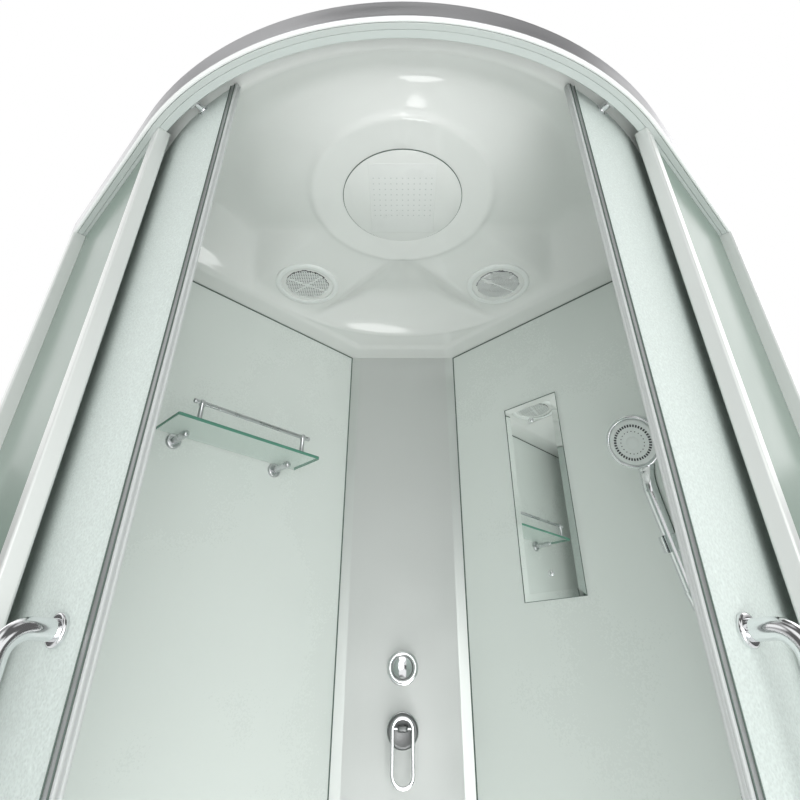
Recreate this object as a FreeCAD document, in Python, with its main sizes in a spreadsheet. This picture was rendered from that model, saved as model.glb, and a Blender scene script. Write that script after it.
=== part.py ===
import FreeCAD, Part
import math
import operator
import os
from types import SimpleNamespace

import Sketcher

# Quarter-round corner shower cabin. +Z is up, the floor is z = 0, and the two walls run along
# x = -side / 2 and y = +side / 2. The rounded front faces +X and -Y. Left and right are as seen
# by someone who stands in front of the doors: the left wall is the one at -X.

SIZES = [
    # whole cabin
    ("side", 900, "footprint along each wall"),
    ("corner_radius", 565, "outer radius of the rounded front"),
    ("wall_depth", 18, "face of a wall panel to the back of the cabin"),
    ("column_cut", 133.5, "wall corner to the face of the column"),
    ("running_gap", 0.3, "gap between pieces that move or fit loosely"),
    ("overrun", 5, "how far a cutting solid passes a face"),
    # tray
    ("tray_height", 260, "floor to the rim of the tray"),
    ("tray_wall", 6, "thickness of the tray"),
    ("tray_lip", 30, "height of the lip round the tray"),
    ("rim_width", 62, "outer edge of the tray to the bowl"),
    ("floor_height", 116, "floor of the bowl above the ground"),
    ("bowl_corner", 230, "radius of the bowl beside the column"),
    ("bowl_side_corner", 90, "radius of the bowl's other two corners"),
    ("bowl_slope_angle", 8, "slope of the bowl's wall"),
    ("bar_size", 25, "square steel tube under the tray"),
    ("bar_wall", 2, "wall of the steel tube"),
    ("bar_inset", 25, "edge of the cabin to the long bar ends"),
    ("bar_front_inset", 80, "edge of the cabin to the front bar ends"),
    ("bar_back_inset", 120, "edge of the cabin to the back bars"),
    ("bar_front_offset", 120, "centre of the cabin to the front bars"),
    ("foot_radius", 25, "foot pad"),
    ("foot_top_radius", 17, "top of a foot pad"),
    ("foot_height", 12, "foot pad"),
    ("foot_stud_radius", 6, "threaded foot stud"),
    ("foot_nut_radius", 11, "lock nut of a foot"),
    ("foot_nut_height", 10, "lock nut of a foot"),
    ("foot_inset", 20, "bar end to the foot"),
    ("apron_wall", 4, "thickness of the front panel"),
    ("apron_foot_gap", 15, "ground to the front panel"),
    ("apron_tuck", 12, "front panel behind the tray lip"),
    # drain
    ("drain_offset", 150, "centre of the cabin to the drain, on x and on y"),
    ("drain_hole_radius", 45, "hole in the tray"),
    ("drain_seat_radius", 64, "seat of the drain in the tray's floor"),
    ("drain_flange_radius", 54, "flange in the tray"),
    ("drain_bore_radius", 38, "way through the drain"),
    ("drain_flange_height", 3, "flange in the tray"),
    ("drain_tube_length", 34, "tube of the drain under the flange"),
    ("trap_floor", 25, "ground to the trap"),
    ("trap_wall", 3, "wall of the trap"),
    ("trap_cap_height", 10, "top ring of the trap"),
    ("outlet_radius", 20, "waste spigot, outside"),
    ("outlet_reach", 60, "waste spigot past its collar"),
    ("outlet_collar_reach", 6, "trap to the face of the collar"),
    ("outlet_height", 50, "waste spigot above the ground"),
    ("cover_radius", 56, "drain cover"),
    ("cover_height", 4, "drain cover"),
    ("cover_skirt_radius", 44, "skirt of the drain cover"),
    ("cover_skirt_height", 6, "skirt of the drain cover"),
    ("cover_notch", 20, "water way through the skirt"),
    # rails
    ("rail_top", 2086, "top of the upper rail"),
    ("rail_height", 40, "both rails"),
    ("rail_wall", 4, "face of the rails"),
    ("rail_plate", 4, "shelf of the rails"),
    ("rail_width", 25, "outer edge to the inner edge of the rails"),
    ("rail_edge", 3, "slanted lower edge of the upper rail"),
    ("rail_edge_angle", 45, "slope of that edge"),
    ("rail_lip_width", 12, "lip that carries the roof"),
    ("rail_lip_drop", 10, "top of the upper rail to the roof flange"),
    ("lower_setback", 4, "edge of the tray to the lower rail"),
    ("bead_width", 3, "running edge of the rails"),
    ("bead_height", 3, "running edge of the rails"),
    ("track_past", 43, "rear roller to the end of the curved track"),
    # posts and fixed glass
    ("post_size", 30, "square post at the wall"),
    ("post_wall", 2, "wall of the posts"),
    ("post_round", 3, "rounded edge of the posts"),
    ("glass_thickness", 5, "all glass"),
    ("glass_inset", 20, "outer edge of the cabin to the fixed glass"),
    ("jamb_width", 27, "post at the free edge of the fixed glass, along the front"),
    ("jamb_depth", 20, "the same post, outside to inside"),
    ("jamb_inset", 14, "outer edge of the cabin to the same post"),
    ("jamb_overlap", 4, "the same post past the end of the curve"),
    # walls and column
    ("wall_drop", 7, "flange of the roof to the top of the wall panels"),
    ("panel_thickness", 5, "wall panels"),
    ("gasket_width", 3, "dark seal round the wall panels"),
    ("gasket_proud", 0.6, "seal in front of the wall panels"),
    ("column_width", 226, "face of the column"),
    ("column_sheet", 2, "sheet of the column"),
    ("column_return", 20, "folded edge of the column"),
    ("trim_depth", 14, "trim beside the column"),
    # roof
    ("skin", 4, "thickness of the roof"),
    ("dome_height", 62, "flange of the roof to its top"),
    ("cornice_width", 50, "step of the roof along the walls"),
    ("dome_inset", 57, "outer edge or wall face to the dome"),
    ("dome_back_corner", 380, "radius of the dome over the column"),
    ("dome_side_corner", 90, "radius of the dome beside the walls"),
    ("dome_slope_angle", 45, "slope of the dome's wall"),
    ("dome_shell", 6, "slanted wall of the roof, measured level"),
    ("boss_offset", 48, "centre of the cabin to the round boss, on x and on y"),
    ("boss_radius", 168, "round boss in the roof"),
    ("boss_rise", 5, "flange of the roof to the face of the round boss"),
    ("arm_width", 160, "flat arm of the roof"),
    ("arm_rise", 9, "flange of the roof to the face of the flat arms"),
    ("arm_offset", 20, "centre of the cabin to the middle of an arm"),
    ("arm_inset", 50, "edge of the cabin to the end of an arm"),
    ("boss_hole_radius", 100, "hole of the round boss"),
    ("unit_inset", 170, "edge of the cabin to the speaker or fan"),
    ("unit_hole_radius", 46, "hole for the speaker or the fan"),
    # overhead shower
    ("plate_radius", 108, "round plate of the overhead shower"),
    ("plate_height", 3, "round plate of the overhead shower"),
    ("head_width", 120, "nozzle plate"),
    ("head_length", 165, "nozzle plate"),
    ("head_body_width", 110, "water chamber"),
    ("head_body_length", 145, "water chamber"),
    ("head_body_height", 14, "water chamber"),
    ("pipe_radius", 6, "pipe to the overhead shower"),
    ("pipe_elbow_radius", 8.5, "elbows of that pipe"),
    ("riser_back", 60, "wall corner to the rising pipe"),
    # speaker and fan
    ("bezel_radius", 57, "frame of a round grille"),
    ("bezel_height", 4, "frame of a round grille"),
    ("grille_radius", 45, "open field of a grille"),
    ("grille_bar", 2.4, "bar of a grille"),
    ("grille_pitch", 9, "bar to bar"),
    ("driver_rim_radius", 54, "rim of the speaker"),
    ("driver_rim_height", 3, "rim of the speaker"),
    ("driver_cone_radius", 42, "cone of the speaker"),
    ("driver_cone_height", 18, "cone of the speaker"),
    ("magnet_radius", 22, "magnet of the speaker"),
    ("magnet_height", 14, "magnet of the speaker"),
    ("duct_wall", 2.5, "wall of the fan duct"),
    ("duct_height", 36, "fan duct"),
    ("motor_radius", 14, "fan motor"),
    ("motor_height", 14, "fan motor"),
    ("hub_radius", 13, "fan hub"),
    ("hub_height", 12, "fan hub"),
    ("motor_arm_width", 4, "arms that carry the motor"),
    ("motor_floor", 4, "motor above its bearing"),
    ("blade_tip_gap", 2, "blade tip to the duct"),
    ("blade_thickness", 1.6, "fan blade"),
    ("blade_lean_angle", 50, "fan blade from upright"),
    ("blade_count", 5, "fan blades"),
    ("shaft_radius", 2, "fan shaft"),
    ("shaft_play", 0.05, "fan shaft in its bearing"),
    # doors
    ("door_radius", 516, "middle of the door glass"),
    ("door_open_angle", 27.8, "front middle to the door's edge when open"),
    ("door_wall_gap", 82.81, "wall face to the rear edge of an open door"),
    ("door_tuck", 26, "door glass behind each rail"),
    ("edge_seal_width", 4, "magnetic seal"),
    ("edge_seal_depth", 9, "magnetic seal, outside to inside"),
    ("edge_bar_width", 9, "aluminium edge of the door"),
    ("edge_bar_depth", 10, "aluminium edge, outside to inside"),
    ("edge_bar_web", 3, "solid part of the aluminium edge"),
    ("rear_seal_depth", 8, "seal on the door's rear edge"),
    ("slot_gap", 0.2, "glass in its slot or a bolt in its hole"),
    ("roller_inset", 70, "door edge to a roller, along the curve"),
    ("wheel_radius", 9.5, "running face of a roller"),
    ("wheel_flange_radius", 12, "flange of a roller"),
    ("wheel_flange_width", 4, "flange of a roller"),
    ("wheel_start", 534, "curve's centre to the roller"),
    ("wheel_end", 543, "curve's centre to the roller's outer face"),
    ("axle_radius", 3, "axle of a roller"),
    ("axle_play", 0.05, "roller on its axle"),
    ("axle_head_radius", 5, "head of the axle"),
    ("axle_head_length", 2, "head of the axle"),
    ("hanger_radius", 5, "bolt through the glass"),
    ("hanger_cap_radius", 8, "round cap on the inside"),
    ("hanger_washer_radius", 9, "round washer on the outside"),
    ("hanger_cap_length", 2.5, "cap and washer"),
    ("guide_radius", 8, "guide pin under the lower rail's shelf"),
    # handles
    ("handle_inset", 54, "door edge to the handle, along the curve"),
    ("handle_top", 1348, "upper arm of the handle"),
    ("handle_length", 225, "arm to arm"),
    ("handle_radius", 9, "tube of the handle"),
    ("handle_reach", 42, "glass to the middle of the outer grip"),
    ("handle_inner_radius", 6.5, "tube of the inner grip"),
    ("handle_inner_reach", 12, "glass to the middle of the inner grip"),
    ("rosette_radius", 14, "round foot of the handle"),
    ("rosette_height", 4, "round foot of the handle"),
    ("handle_bolt_radius", 4, "bolt of the handle"),
    # shelf
    ("shelf_drop", 368, "top of the upper rail to the middle of the shelf glass"),
    ("shelf_glass", 6, "thickness of the shelf glass"),
    ("shelf_gap", 14, "wall to the shelf glass"),
    ("shelf_depth", 90, "shelf glass"),
    ("shelf_start", 345, "wall corner to the shelf glass"),
    ("shelf_length", 304, "shelf glass"),
    ("shelf_post_inset", 41, "end of the glass to a post"),
    ("shelf_post_radius", 4.5, "post of the shelf rail"),
    ("shelf_post_edge", 8, "front of the glass to a post"),
    ("shelf_post_cap_radius", 6, "round cap of a post"),
    ("shelf_corner", 6, "rounded front corners of the shelf glass"),
    ("shelf_rail_rise", 33, "glass to the shelf rail"),
    ("shelf_rail_radius", 4.5, "shelf rail"),
    ("shelf_rail_past", 12, "shelf rail past its posts"),
    ("bracket_radius", 7, "arm of a shelf bracket"),
    ("bracket_plate_radius", 15, "wall plate of a shelf bracket"),
    ("bracket_plate_height", 6, "wall plate of a shelf bracket"),
    ("bracket_reach", 50, "wall to the end of a bracket"),
    # mirror
    ("mirror_start", 336, "wall corner to the mirror"),
    ("mirror_width", 133, "mirror"),
    ("mirror_drop", 222, "top of the upper rail to the mirror"),
    ("mirror_length", 411, "mirror"),
    ("mirror_thickness", 4, "mirror"),
    ("mirror_bevel_width", 14, "bevel of the mirror"),
    ("mirror_bevel_depth", 1.5, "bevel of the mirror"),
    ("mirror_screw_inset", 46, "end of the mirror to a screw cap"),
    ("mirror_screw_radius", 6, "screw cap"),
    ("mirror_screw_height", 4, "screw cap"),
    # valves on the column
    ("mixer_height", 1243, "axis of the mixer"),
    ("diverter_height", 1347, "axis of the diverter"),
    ("block_width", 110, "brass body behind the column"),
    ("block_depth", 40, "brass body behind the column"),
    ("block_margin", 30, "valve axis to the end of the brass body"),
    ("block_behind", 45, "face of the column to the brass body"),
    ("neck_radius", 20, "necks through the column"),
    ("neck_reach", 8, "necks in front of the column"),
    ("plate_ring_radius", 31, "round cover plates"),
    ("plate_ring_height", 5, "round cover plates"),
    ("knob_radius", 28, "diverter knob"),
    ("knob_length", 20, "diverter knob"),
    ("knob_face_radius", 21, "sunk face of the knob"),
    ("knob_face_depth", 2, "sunk face of the knob"),
    ("cap_radius", 29, "turning cap of the mixer"),
    ("cap_length", 26, "turning cap of the mixer"),
    ("cap_front", 5, "front wall of the cap"),
    ("cartridge_radius", 17, "ceramic cartridge"),
    ("cartridge_length", 12, "ceramic cartridge"),
    ("lever_width", 44, "mixer lever"),
    ("lever_length", 91, "pivot to the tip of the lever"),
    ("lever_top", 20, "pivot to the top of the lever"),
    ("lever_thickness", 8, "mixer lever"),
    ("lever_rise", 5, "mixer axis to the lever pivot"),
    ("lever_stand", 13, "face of the cap to the lever pivot"),
    ("lever_slot_width", 31, "opening of the lever"),
    ("pivot_radius", 2.5, "pivot pin of the lever"),
    ("pivot_boss_radius", 6, "boss of the lever pivot"),
    ("pivot_boss_gap", 5.5, "side of the lever's opening to the boss"),
    ("tail_radius", 9, "supply nipples"),
    ("tail_offset", 35, "middle to a supply nipple"),
    ("tail_length", 8, "brass body to the thread of a supply"),
    ("thread_radius", 10.48, "half inch pipe thread, outside"),
    ("thread_length", 18, "half inch pipe thread"),
    ("jog_length", 36, "brass body to the lower elbow of the rising pipe"),
    # hose outlet and hose
    ("outlet_neck_height", 1010, "hose outlet on the column"),
    ("outlet_neck_radius", 10, "hose outlet"),
    ("outlet_neck_reach", 26, "column to the outlet's elbow"),
    ("outlet_plate_radius", 23, "cover plate of the outlet"),
    ("outlet_drop", 25, "elbow to the hose"),
    ("outlet_nut_radius", 11, "nut of the hose"),
    ("outlet_nut_length", 22, "nut of the hose"),
    ("hose_radius", 7, "shower hose"),
    ("hose_gap", 0.4, "hose in a bore"),
    # hand shower
    ("hand_x", 233, "end of the handle"),
    ("hand_wall_gap", 50, "wall face to the end of the handle"),
    ("hand_z", 1436, "end of the handle"),
    ("hand_lean_angle", 14.4, "handle away from the wall"),
    ("hand_side_angle", 3.8, "handle to the left"),
    ("hand_length", 186, "handle"),
    ("hand_radius", 11, "lower end of the handle"),
    ("hand_top_radius", 14, "upper end of the handle"),
    ("neck_top_radius", 11, "neck under the head"),
    ("hand_bore_depth", 92, "bore of the handle"),
    ("water_way_radius", 5, "water way of the handle"),
    ("chamber_radius", 34, "water chamber of the head"),
    ("chamber_depth", 16, "water chamber of the head"),
    ("hand_head_rise", 233, "end of the handle to the middle of the head"),
    ("hand_head_radius", 45, "head of the hand shower"),
    ("hand_head_depth", 15, "rim of the head"),
    ("hand_head_dome", 16, "rounded back of the head"),
    ("hand_head_tip_angle", 12, "head tipped down from the handle"),
    ("spray_radius", 38, "turning spray face"),
    ("spray_depth", 6, "turning spray face"),
    ("spray_sink", 3, "spray face inside the head"),
    ("nut_length", 28, "cone nut of the hose"),
    ("nut_radius", 9.6, "small end of the cone nut"),
    ("holder_height", 1504, "middle of the holder"),
    ("holder_plate_radius", 23, "wall plate of the holder"),
    ("holder_plate_height", 8, "wall plate of the holder"),
    ("holder_arm_radius", 11, "arm of the holder"),
    ("holder_pivot_reach", 30, "wall to the holder's pivot"),
    ("holder_fork_width", 26, "fork of the holder"),
    ("holder_tongue_width", 12, "tongue between the fork's ears"),
    ("holder_ear_radius", 11, "ear of the fork"),
    ("holder_pin_radius", 3, "pin of the holder"),
    ("holder_ring_radius", 19, "ring round the handle"),
    ("holder_ring_height", 26, "ring round the handle"),
    ("holder_mouth", 16, "mouth of the ring"),
]

# A free cord has its own route, chosen by hand: from the outlet on the column to the hand shower.
HOSE_ROUTE = [
    (-319.2, 319.2, 985), (-319.2, 319.2, 892), (-300, 322, 795), (-258, 329, 704), (-198, 337, 632),
    (-118, 346, 590), (-32, 355, 592), (48, 364, 640), (112, 373, 722), (160, 381, 830),
    (195, 389, 950), (218, 396, 1080), (232, 402, 1207), (239.1, 405.6, 1344.1), (230.4, 372.1, 1474.7),
]
HOSE_ARC_SHARE = 0.45


class Size(float):
    """A number that remembers the formula on the sheet that it comes from."""

    def __new__(cls, value, formula):
        made = float.__new__(cls, value)
        made.formula = formula
        return made

    def __neg__(self):
        return 0 - self


def formula_of(value):
    return getattr(value, "formula", repr(float(value)))


def worked_out(sign, work):
    def ahead(first, second):
        return Size(work(float(first), float(second)), f"({formula_of(first)} {sign} {formula_of(second)})")

    def behind(second, first):
        return ahead(first, second)
    return ahead, behind


Size.__add__, Size.__radd__ = worked_out("+", operator.add)
Size.__sub__, Size.__rsub__ = worked_out("-", operator.sub)
Size.__mul__, Size.__rmul__ = worked_out("*", operator.mul)
Size.__truediv__, Size.__rtruediv__ = worked_out("/", operator.truediv)


def root_two(size):
    return Size(float(size) * math.sqrt(2), f"({formula_of(size)} * sqrt(2))")


def turn_of(length, radius):
    """The angle in degrees that a length along a curve takes."""
    return Size(math.degrees(length / radius), f"({formula_of(length)} / {formula_of(radius)} * 180 / pi)")


def tangent(angle):
    return Size(math.tan(math.radians(angle)), f"tan({formula_of(angle)})")


def angle_of(side, radius):
    """The angle in degrees between a radius and its side along an axis."""
    formula = f"(acos({formula_of(side)} / {formula_of(radius)}) / 1deg)"
    return Size(math.degrees(math.acos(side / radius)), formula)


doc = FreeCAD.newDocument("shower_cabin")
sheet = doc.addObject("Spreadsheet::Sheet", "Sizes")
for row, (alias, value, note) in enumerate(SIZES, 1):
    sheet.set(f"A{row}", note)
    sheet.set(f"B{row}", str(value))
    sheet.setAlias(f"B{row}", alias)
doc.recompute()
s = SimpleNamespace(**{alias: Size(value, "Sizes." + alias) for alias, value, note in SIZES})
NODES = []

UP = FreeCAD.Vector(0, 0, 1)
AXES = {"X": FreeCAD.Vector(1, 0, 0), "Y": FreeCAD.Vector(0, 1, 0), "Z": UP,
        "-X": FreeCAD.Vector(-1, 0, 0), "-Y": FreeCAD.Vector(0, -1, 0), "-Z": FreeCAD.Vector(0, 0, -1)}

# Places that several pieces share
half = s.side / 2
wall_x = s.wall_depth - half
wall_y = half - s.wall_depth
arc_x = half - s.corner_radius
arc_y = s.corner_radius - half
rail_bottom = s.rail_top - s.rail_height
roof_under = s.rail_top - s.rail_lip_drop
lower_top = s.tray_height + s.rail_height
bead_inner = s.corner_radius - s.rail_width
panel_end = root_two(s.column_cut) + s.gasket_width
wall_top = roof_under - s.wall_drop
gasket_top = wall_top + s.gasket_width
boss_face = roof_under + s.boss_rise
arm_face = roof_under + s.arm_rise
dome_top = roof_under + s.dome_height
cabin_top = dome_top + s.pipe_radius * 2
unit_offset = half - s.unit_inset
door_bottom = lower_top - s.door_tuck
door_top = rail_bottom + s.door_tuck
door_end_angle = angle_of(wall_x + s.door_wall_gap - arc_x, s.door_radius) - 45 - s.door_open_angle
door_width = s.door_radius * door_end_angle * math.pi / 180
track_end_angle = s.door_open_angle + turn_of(door_width - s.roller_inset + s.track_past, s.door_radius)


def bind(thing, **values):
    for name, value in values.items():
        thing.setExpression(name.replace("__", "."), formula_of(value))


def moved(thing, x=0, y=0, z=0, turn=None):
    """Puts a solid at a place that follows the sheet, turned as asked."""
    thing.Placement = FreeCAD.Placement(FreeCAD.Vector(x, y, z), turn or FreeCAD.Rotation())
    bind(thing, Placement__Base__x=x, Placement__Base__y=y, Placement__Base__z=z)
    return thing


def block(x, y, z, length, width, height):
    thing = doc.addObject("Part::Box", "block")
    bind(thing, Length=length, Width=width, Height=height)
    return moved(thing, x, y, z)


def span(x, y, z):
    """A block from pairs of low and high values on each axis."""
    return block(x[0], y[0], z[0], x[1] - x[0], y[1] - y[0], z[1] - z[0])


def rod(radius, length, x=0, y=0, z=0, axis="Z"):
    thing = doc.addObject("Part::Cylinder", "rod")
    bind(thing, Radius=radius, Height=length)
    return moved(thing, x, y, z, FreeCAD.Rotation(UP, AXES[axis]))


def cone(low_radius, high_radius, length, x=0, y=0, z=0, axis="Z"):
    thing = doc.addObject("Part::Cone", "cone")
    bind(thing, Radius1=low_radius, Radius2=high_radius, Height=length)
    return moved(thing, x, y, z, FreeCAD.Rotation(UP, AXES[axis]))


def ball(radius, x=0, y=0, z=0):
    thing = doc.addObject("Part::Sphere", "ball")
    bind(thing, Radius=radius)
    return moved(thing, x, y, z)


def cut(base, *tools):
    thing = doc.addObject("Part::Cut", "cut")
    thing.Base = base
    thing.Tool = tools[0] if len(tools) == 1 else fuse(*tools)
    return thing


def fuse(*pieces):
    thing = doc.addObject("Part::MultiFuse", "joined")
    thing.Shapes = list(pieces)
    thing.Refine = True
    return thing


def common(*pieces):
    thing = doc.addObject("Part::MultiCommon", "shared")
    thing.Shapes = list(pieces)
    return thing


def group(*pieces):
    thing = doc.addObject("Part::Compound", "group")
    thing.Links = list(pieces)
    return thing


def ring(outer, inner, length, x=0, y=0, z=0, axis="Z"):
    return cut(rod(outer, length, x, y, z, axis), rod(inner, length, x, y, z, axis))


def sector(outer, inner, z, height, start, sweep, x=arc_x, y=arc_y):
    """A curved wall: part of a ring, from one angle on, in degrees from +X."""
    pieces = []
    for radius in (outer, inner):
        thing = doc.addObject("Part::Cylinder", "sector")
        bind(thing, Radius=radius, Height=height, Angle=sweep)
        pieces.append(moved(thing, x, y, z, FreeCAD.Rotation(UP, float(start))))
    return cut(*pieces)


def sagitta(reach, radius):
    """How far a curve of that radius bends away within a reach from its middle."""
    return reach * reach / (radius * 2)


def body_with_sketch(z):
    body = doc.addObject("PartDesign::Body", "body")
    plane = next(part for part in body.Origin.OriginFeatures if part.Role == "XY_Plane")
    sketch = body.newObject("Sketcher::SketchObject", "outline")
    sketch.AttachmentSupport = (plane, [""])
    sketch.MapMode = "FlatFace"
    moved(body, 0, 0, z)
    return body, sketch


def padded(body, sketch, height, slope=None, down=False):
    pad = body.newObject("PartDesign::Pad", "pad")
    pad.Profile = sketch
    pad.Reversed = down
    bind(pad, Length=height)
    if slope is not None:
        bind(pad, TaperAngle=0 - slope)
    return body


def set_distance(sketch, kind, geometry, point, value):
    sketch.addConstraint(Sketcher.Constraint(kind, -1, 1, geometry, point, float(value)))
    sketch.setExpression(f"Constraints[{sketch.ConstraintCount - 1}]", formula_of(value))


def slab(x, y, z, height, corners=(None, None, None, None), slope=None, down=False):
    """A flat piece with four straight sides and a radius, or none, at each corner.

    The corners are those at -X -Y, +X -Y, +X +Y and -X +Y. A slope draws the sides in.
    """
    body, sketch = body_with_sketch(z)
    places = [(x[0], y[0]), (x[1], y[0]), (x[1], y[1]), (x[0], y[1])]
    steps = [(1, 0), (0, 1), (-1, 0), (0, -1)]
    radii = [0 if radius is None else float(radius) for radius in corners]
    for side, (across, up) in enumerate(steps):
        after = (side + 1) % 4
        start = [float(places[side][0]) + across * radii[side], float(places[side][1]) + up * radii[side]]
        end = [float(places[after][0]) - across * radii[after], float(places[after][1]) - up * radii[after]]
        sketch.addGeometry(Part.LineSegment(FreeCAD.Vector(*start, 0), FreeCAD.Vector(*end, 0)), False)
        sketch.addConstraint(Sketcher.Constraint("Horizontal" if across else "Vertical", side))
    for corner, radius in enumerate(corners):
        before = (corner - 1) % 4
        if radius is None:
            sketch.addConstraint(Sketcher.Constraint("Coincident", before, 2, corner, 1))
            continue
        across, up = steps[corner]
        middle = FreeCAD.Vector(float(places[corner][0]) + (across - up) * radii[corner],
                                float(places[corner][1]) + (across + up) * radii[corner], 0)
        first = math.radians(180 + 90 * corner)
        circle = Part.Circle(middle, UP, radii[corner])
        arc = sketch.addGeometry(Part.ArcOfCircle(circle, first, first + math.pi / 2), False)
        sketch.addConstraint(Sketcher.Constraint("Tangent", before, 2, arc, 1))
        sketch.addConstraint(Sketcher.Constraint("Tangent", arc, 2, corner, 1))
        sketch.addConstraint(Sketcher.Constraint("Radius", arc, radii[corner]))
        sketch.setExpression(f"Constraints[{sketch.ConstraintCount - 1}]", formula_of(radius))
    set_distance(sketch, "DistanceY", 0, 1, y[0])
    set_distance(sketch, "DistanceX", 1, 1, x[1])
    set_distance(sketch, "DistanceY", 2, 1, y[1])
    set_distance(sketch, "DistanceX", 3, 1, x[0])
    return padded(body, sketch, height, slope, down)


def prism(points, z, height):
    """A straight piece with a section of plain corners."""
    body, sketch = body_with_sketch(z)
    for index, (x, y) in enumerate(points):
        end = points[(index + 1) % len(points)]
        line = Part.LineSegment(FreeCAD.Vector(x, y, 0), FreeCAD.Vector(end[0], end[1], 0))
        sketch.addGeometry(line, False)
    for index, (x, y) in enumerate(points):
        before = (index - 1) % len(points)
        sketch.addConstraint(Sketcher.Constraint("Coincident", before, 2, index, 1))
        set_distance(sketch, "DistanceX", index, 1, x)
        set_distance(sketch, "DistanceY", index, 1, y)
    return padded(body, sketch, height)


def quadrant(inset, z, height, back=0, slope=None, down=False):
    """The outline of the cabin, drawn in by one size at the front and another at the walls."""
    return slab((back - half, half - inset), (inset - half, half - back), z, height,
                (None, s.corner_radius - inset, None, None), slope, down)


def front_strip(outer, inner, z, height, back=0):
    """A strip along the two glass sides and the curve between them."""
    return cut(quadrant(outer, z, height, back), quadrant(inner, z, height, 0 - s.overrun))


def seated(thing, frame):
    """The same piece, drawn in a frame of its own."""
    carrier = group(thing)
    carrier.Placement = frame
    return carrier


def node(label, thing, frame=None):
    if frame is not None:
        thing.Placement = frame
    thing.Label = label
    NODES.append(thing)


def turned(x, y, z, angle):
    return FreeCAD.Placement(FreeCAD.Vector(x, y, z), FreeCAD.Rotation(UP, float(angle)))


# The column's own frame: x along its face, -y out of it into the cabin, origin at the wall corner
column_frame = turned(wall_x, wall_y, 0, 45)


def tray():
    inner = s.tray_height - s.tray_wall
    lip = cut(quadrant(0, s.tray_height - s.tray_lip, s.tray_lip),
              quadrant(s.tray_wall, s.tray_height - s.tray_lip, s.tray_lip - s.tray_wall, s.tray_wall))
    bowls = []
    for inset, top, bottom in ((s.rim_width - s.tray_wall, inner, s.floor_height - s.tray_wall),
                               (s.rim_width, s.tray_height, s.floor_height)):
        low, high = inset - half, half - inset
        grown = s.rim_width - inset
        radii = (s.bowl_side_corner + grown, s.corner_radius - inset,
                 s.bowl_side_corner + grown, s.bowl_corner + grown)
        bowls.append(slab((low, high), (low, high), top, top - bottom, radii, s.bowl_slope_angle, True))
    hole = rod(s.drain_hole_radius, s.tray_height, 0 - s.drain_offset, s.drain_offset, 0)
    shape = cut(fuse(lip, bowls[0]), bowls[1], hole)
    # The walls, the floor and the seat of the drain are solids of their own, so that simple shapes
    # round each of them leave the bowl and the drain open.
    whole = (0 - half, half)
    floor = common(shape, span(whole, whole, (0, s.floor_height)))
    seat = rod(s.drain_seat_radius, s.floor_height, 0 - s.drain_offset, s.drain_offset, 0)
    walls_only = cut(shape, span(whole, whole, (0, s.floor_height)))
    node("tray", group(walls_only, cut(floor, seat), common(floor, seat)))


def tray_frame():
    top = s.floor_height - s.tray_wall
    low = top - s.bar_size
    solids, hollows = [], []
    end, front, back = half - s.bar_inset, half - s.bar_front_inset, half - s.bar_back_inset
    near = s.bar_front_offset
    runs = ((back, end), (0 - near, front))
    bar_half = s.bar_size / 2
    for shrink, past, kept in ((bar_half, 0, solids), (bar_half - s.bar_wall, s.overrun, hollows)):
        rise = s.bar_size / 2 - shrink
        for across, reach in runs:
            along = (0 - end - past, reach + past)
            side = (across - shrink, across + shrink)
            kept.append(span(along, side, (low + rise, top - rise)))
            flipped = (0 - along[1], 0 - along[0])
            kept.append(span((0 - side[1], 0 - side[0]), flipped, (low + rise, top - rise)))
    node("tray_frame", cut(fuse(*solids), *hollows))
    feet = []
    end, front = end - s.foot_inset, front - s.foot_inset
    for x, y in ((0 - end, back), (end, back), (0 - back, 0 - end), (front, 0 - near), (near, 0 - front),
                 (near, 0 - near)):
        pad = cone(s.foot_radius, s.foot_top_radius, s.foot_height, x, y, 0)
        stud = rod(s.foot_stud_radius, low, x, y, 0)
        nut = doc.addObject("Part::Prism", "nut")
        nut.Polygon = 6
        bind(nut, Circumradius=s.foot_nut_radius, Height=s.foot_nut_height)
        moved(nut, x, y, low - s.foot_nut_height)
        feet.append(fuse(pad, stud, nut))
    node("tray_feet", group(*feet))


def apron():
    outer = s.tray_wall + s.running_gap
    height = s.tray_height - s.tray_lip + s.apron_tuck - s.apron_foot_gap
    node("tray_apron", front_strip(outer, outer + s.apron_wall, s.apron_foot_gap, height, outer))


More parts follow.
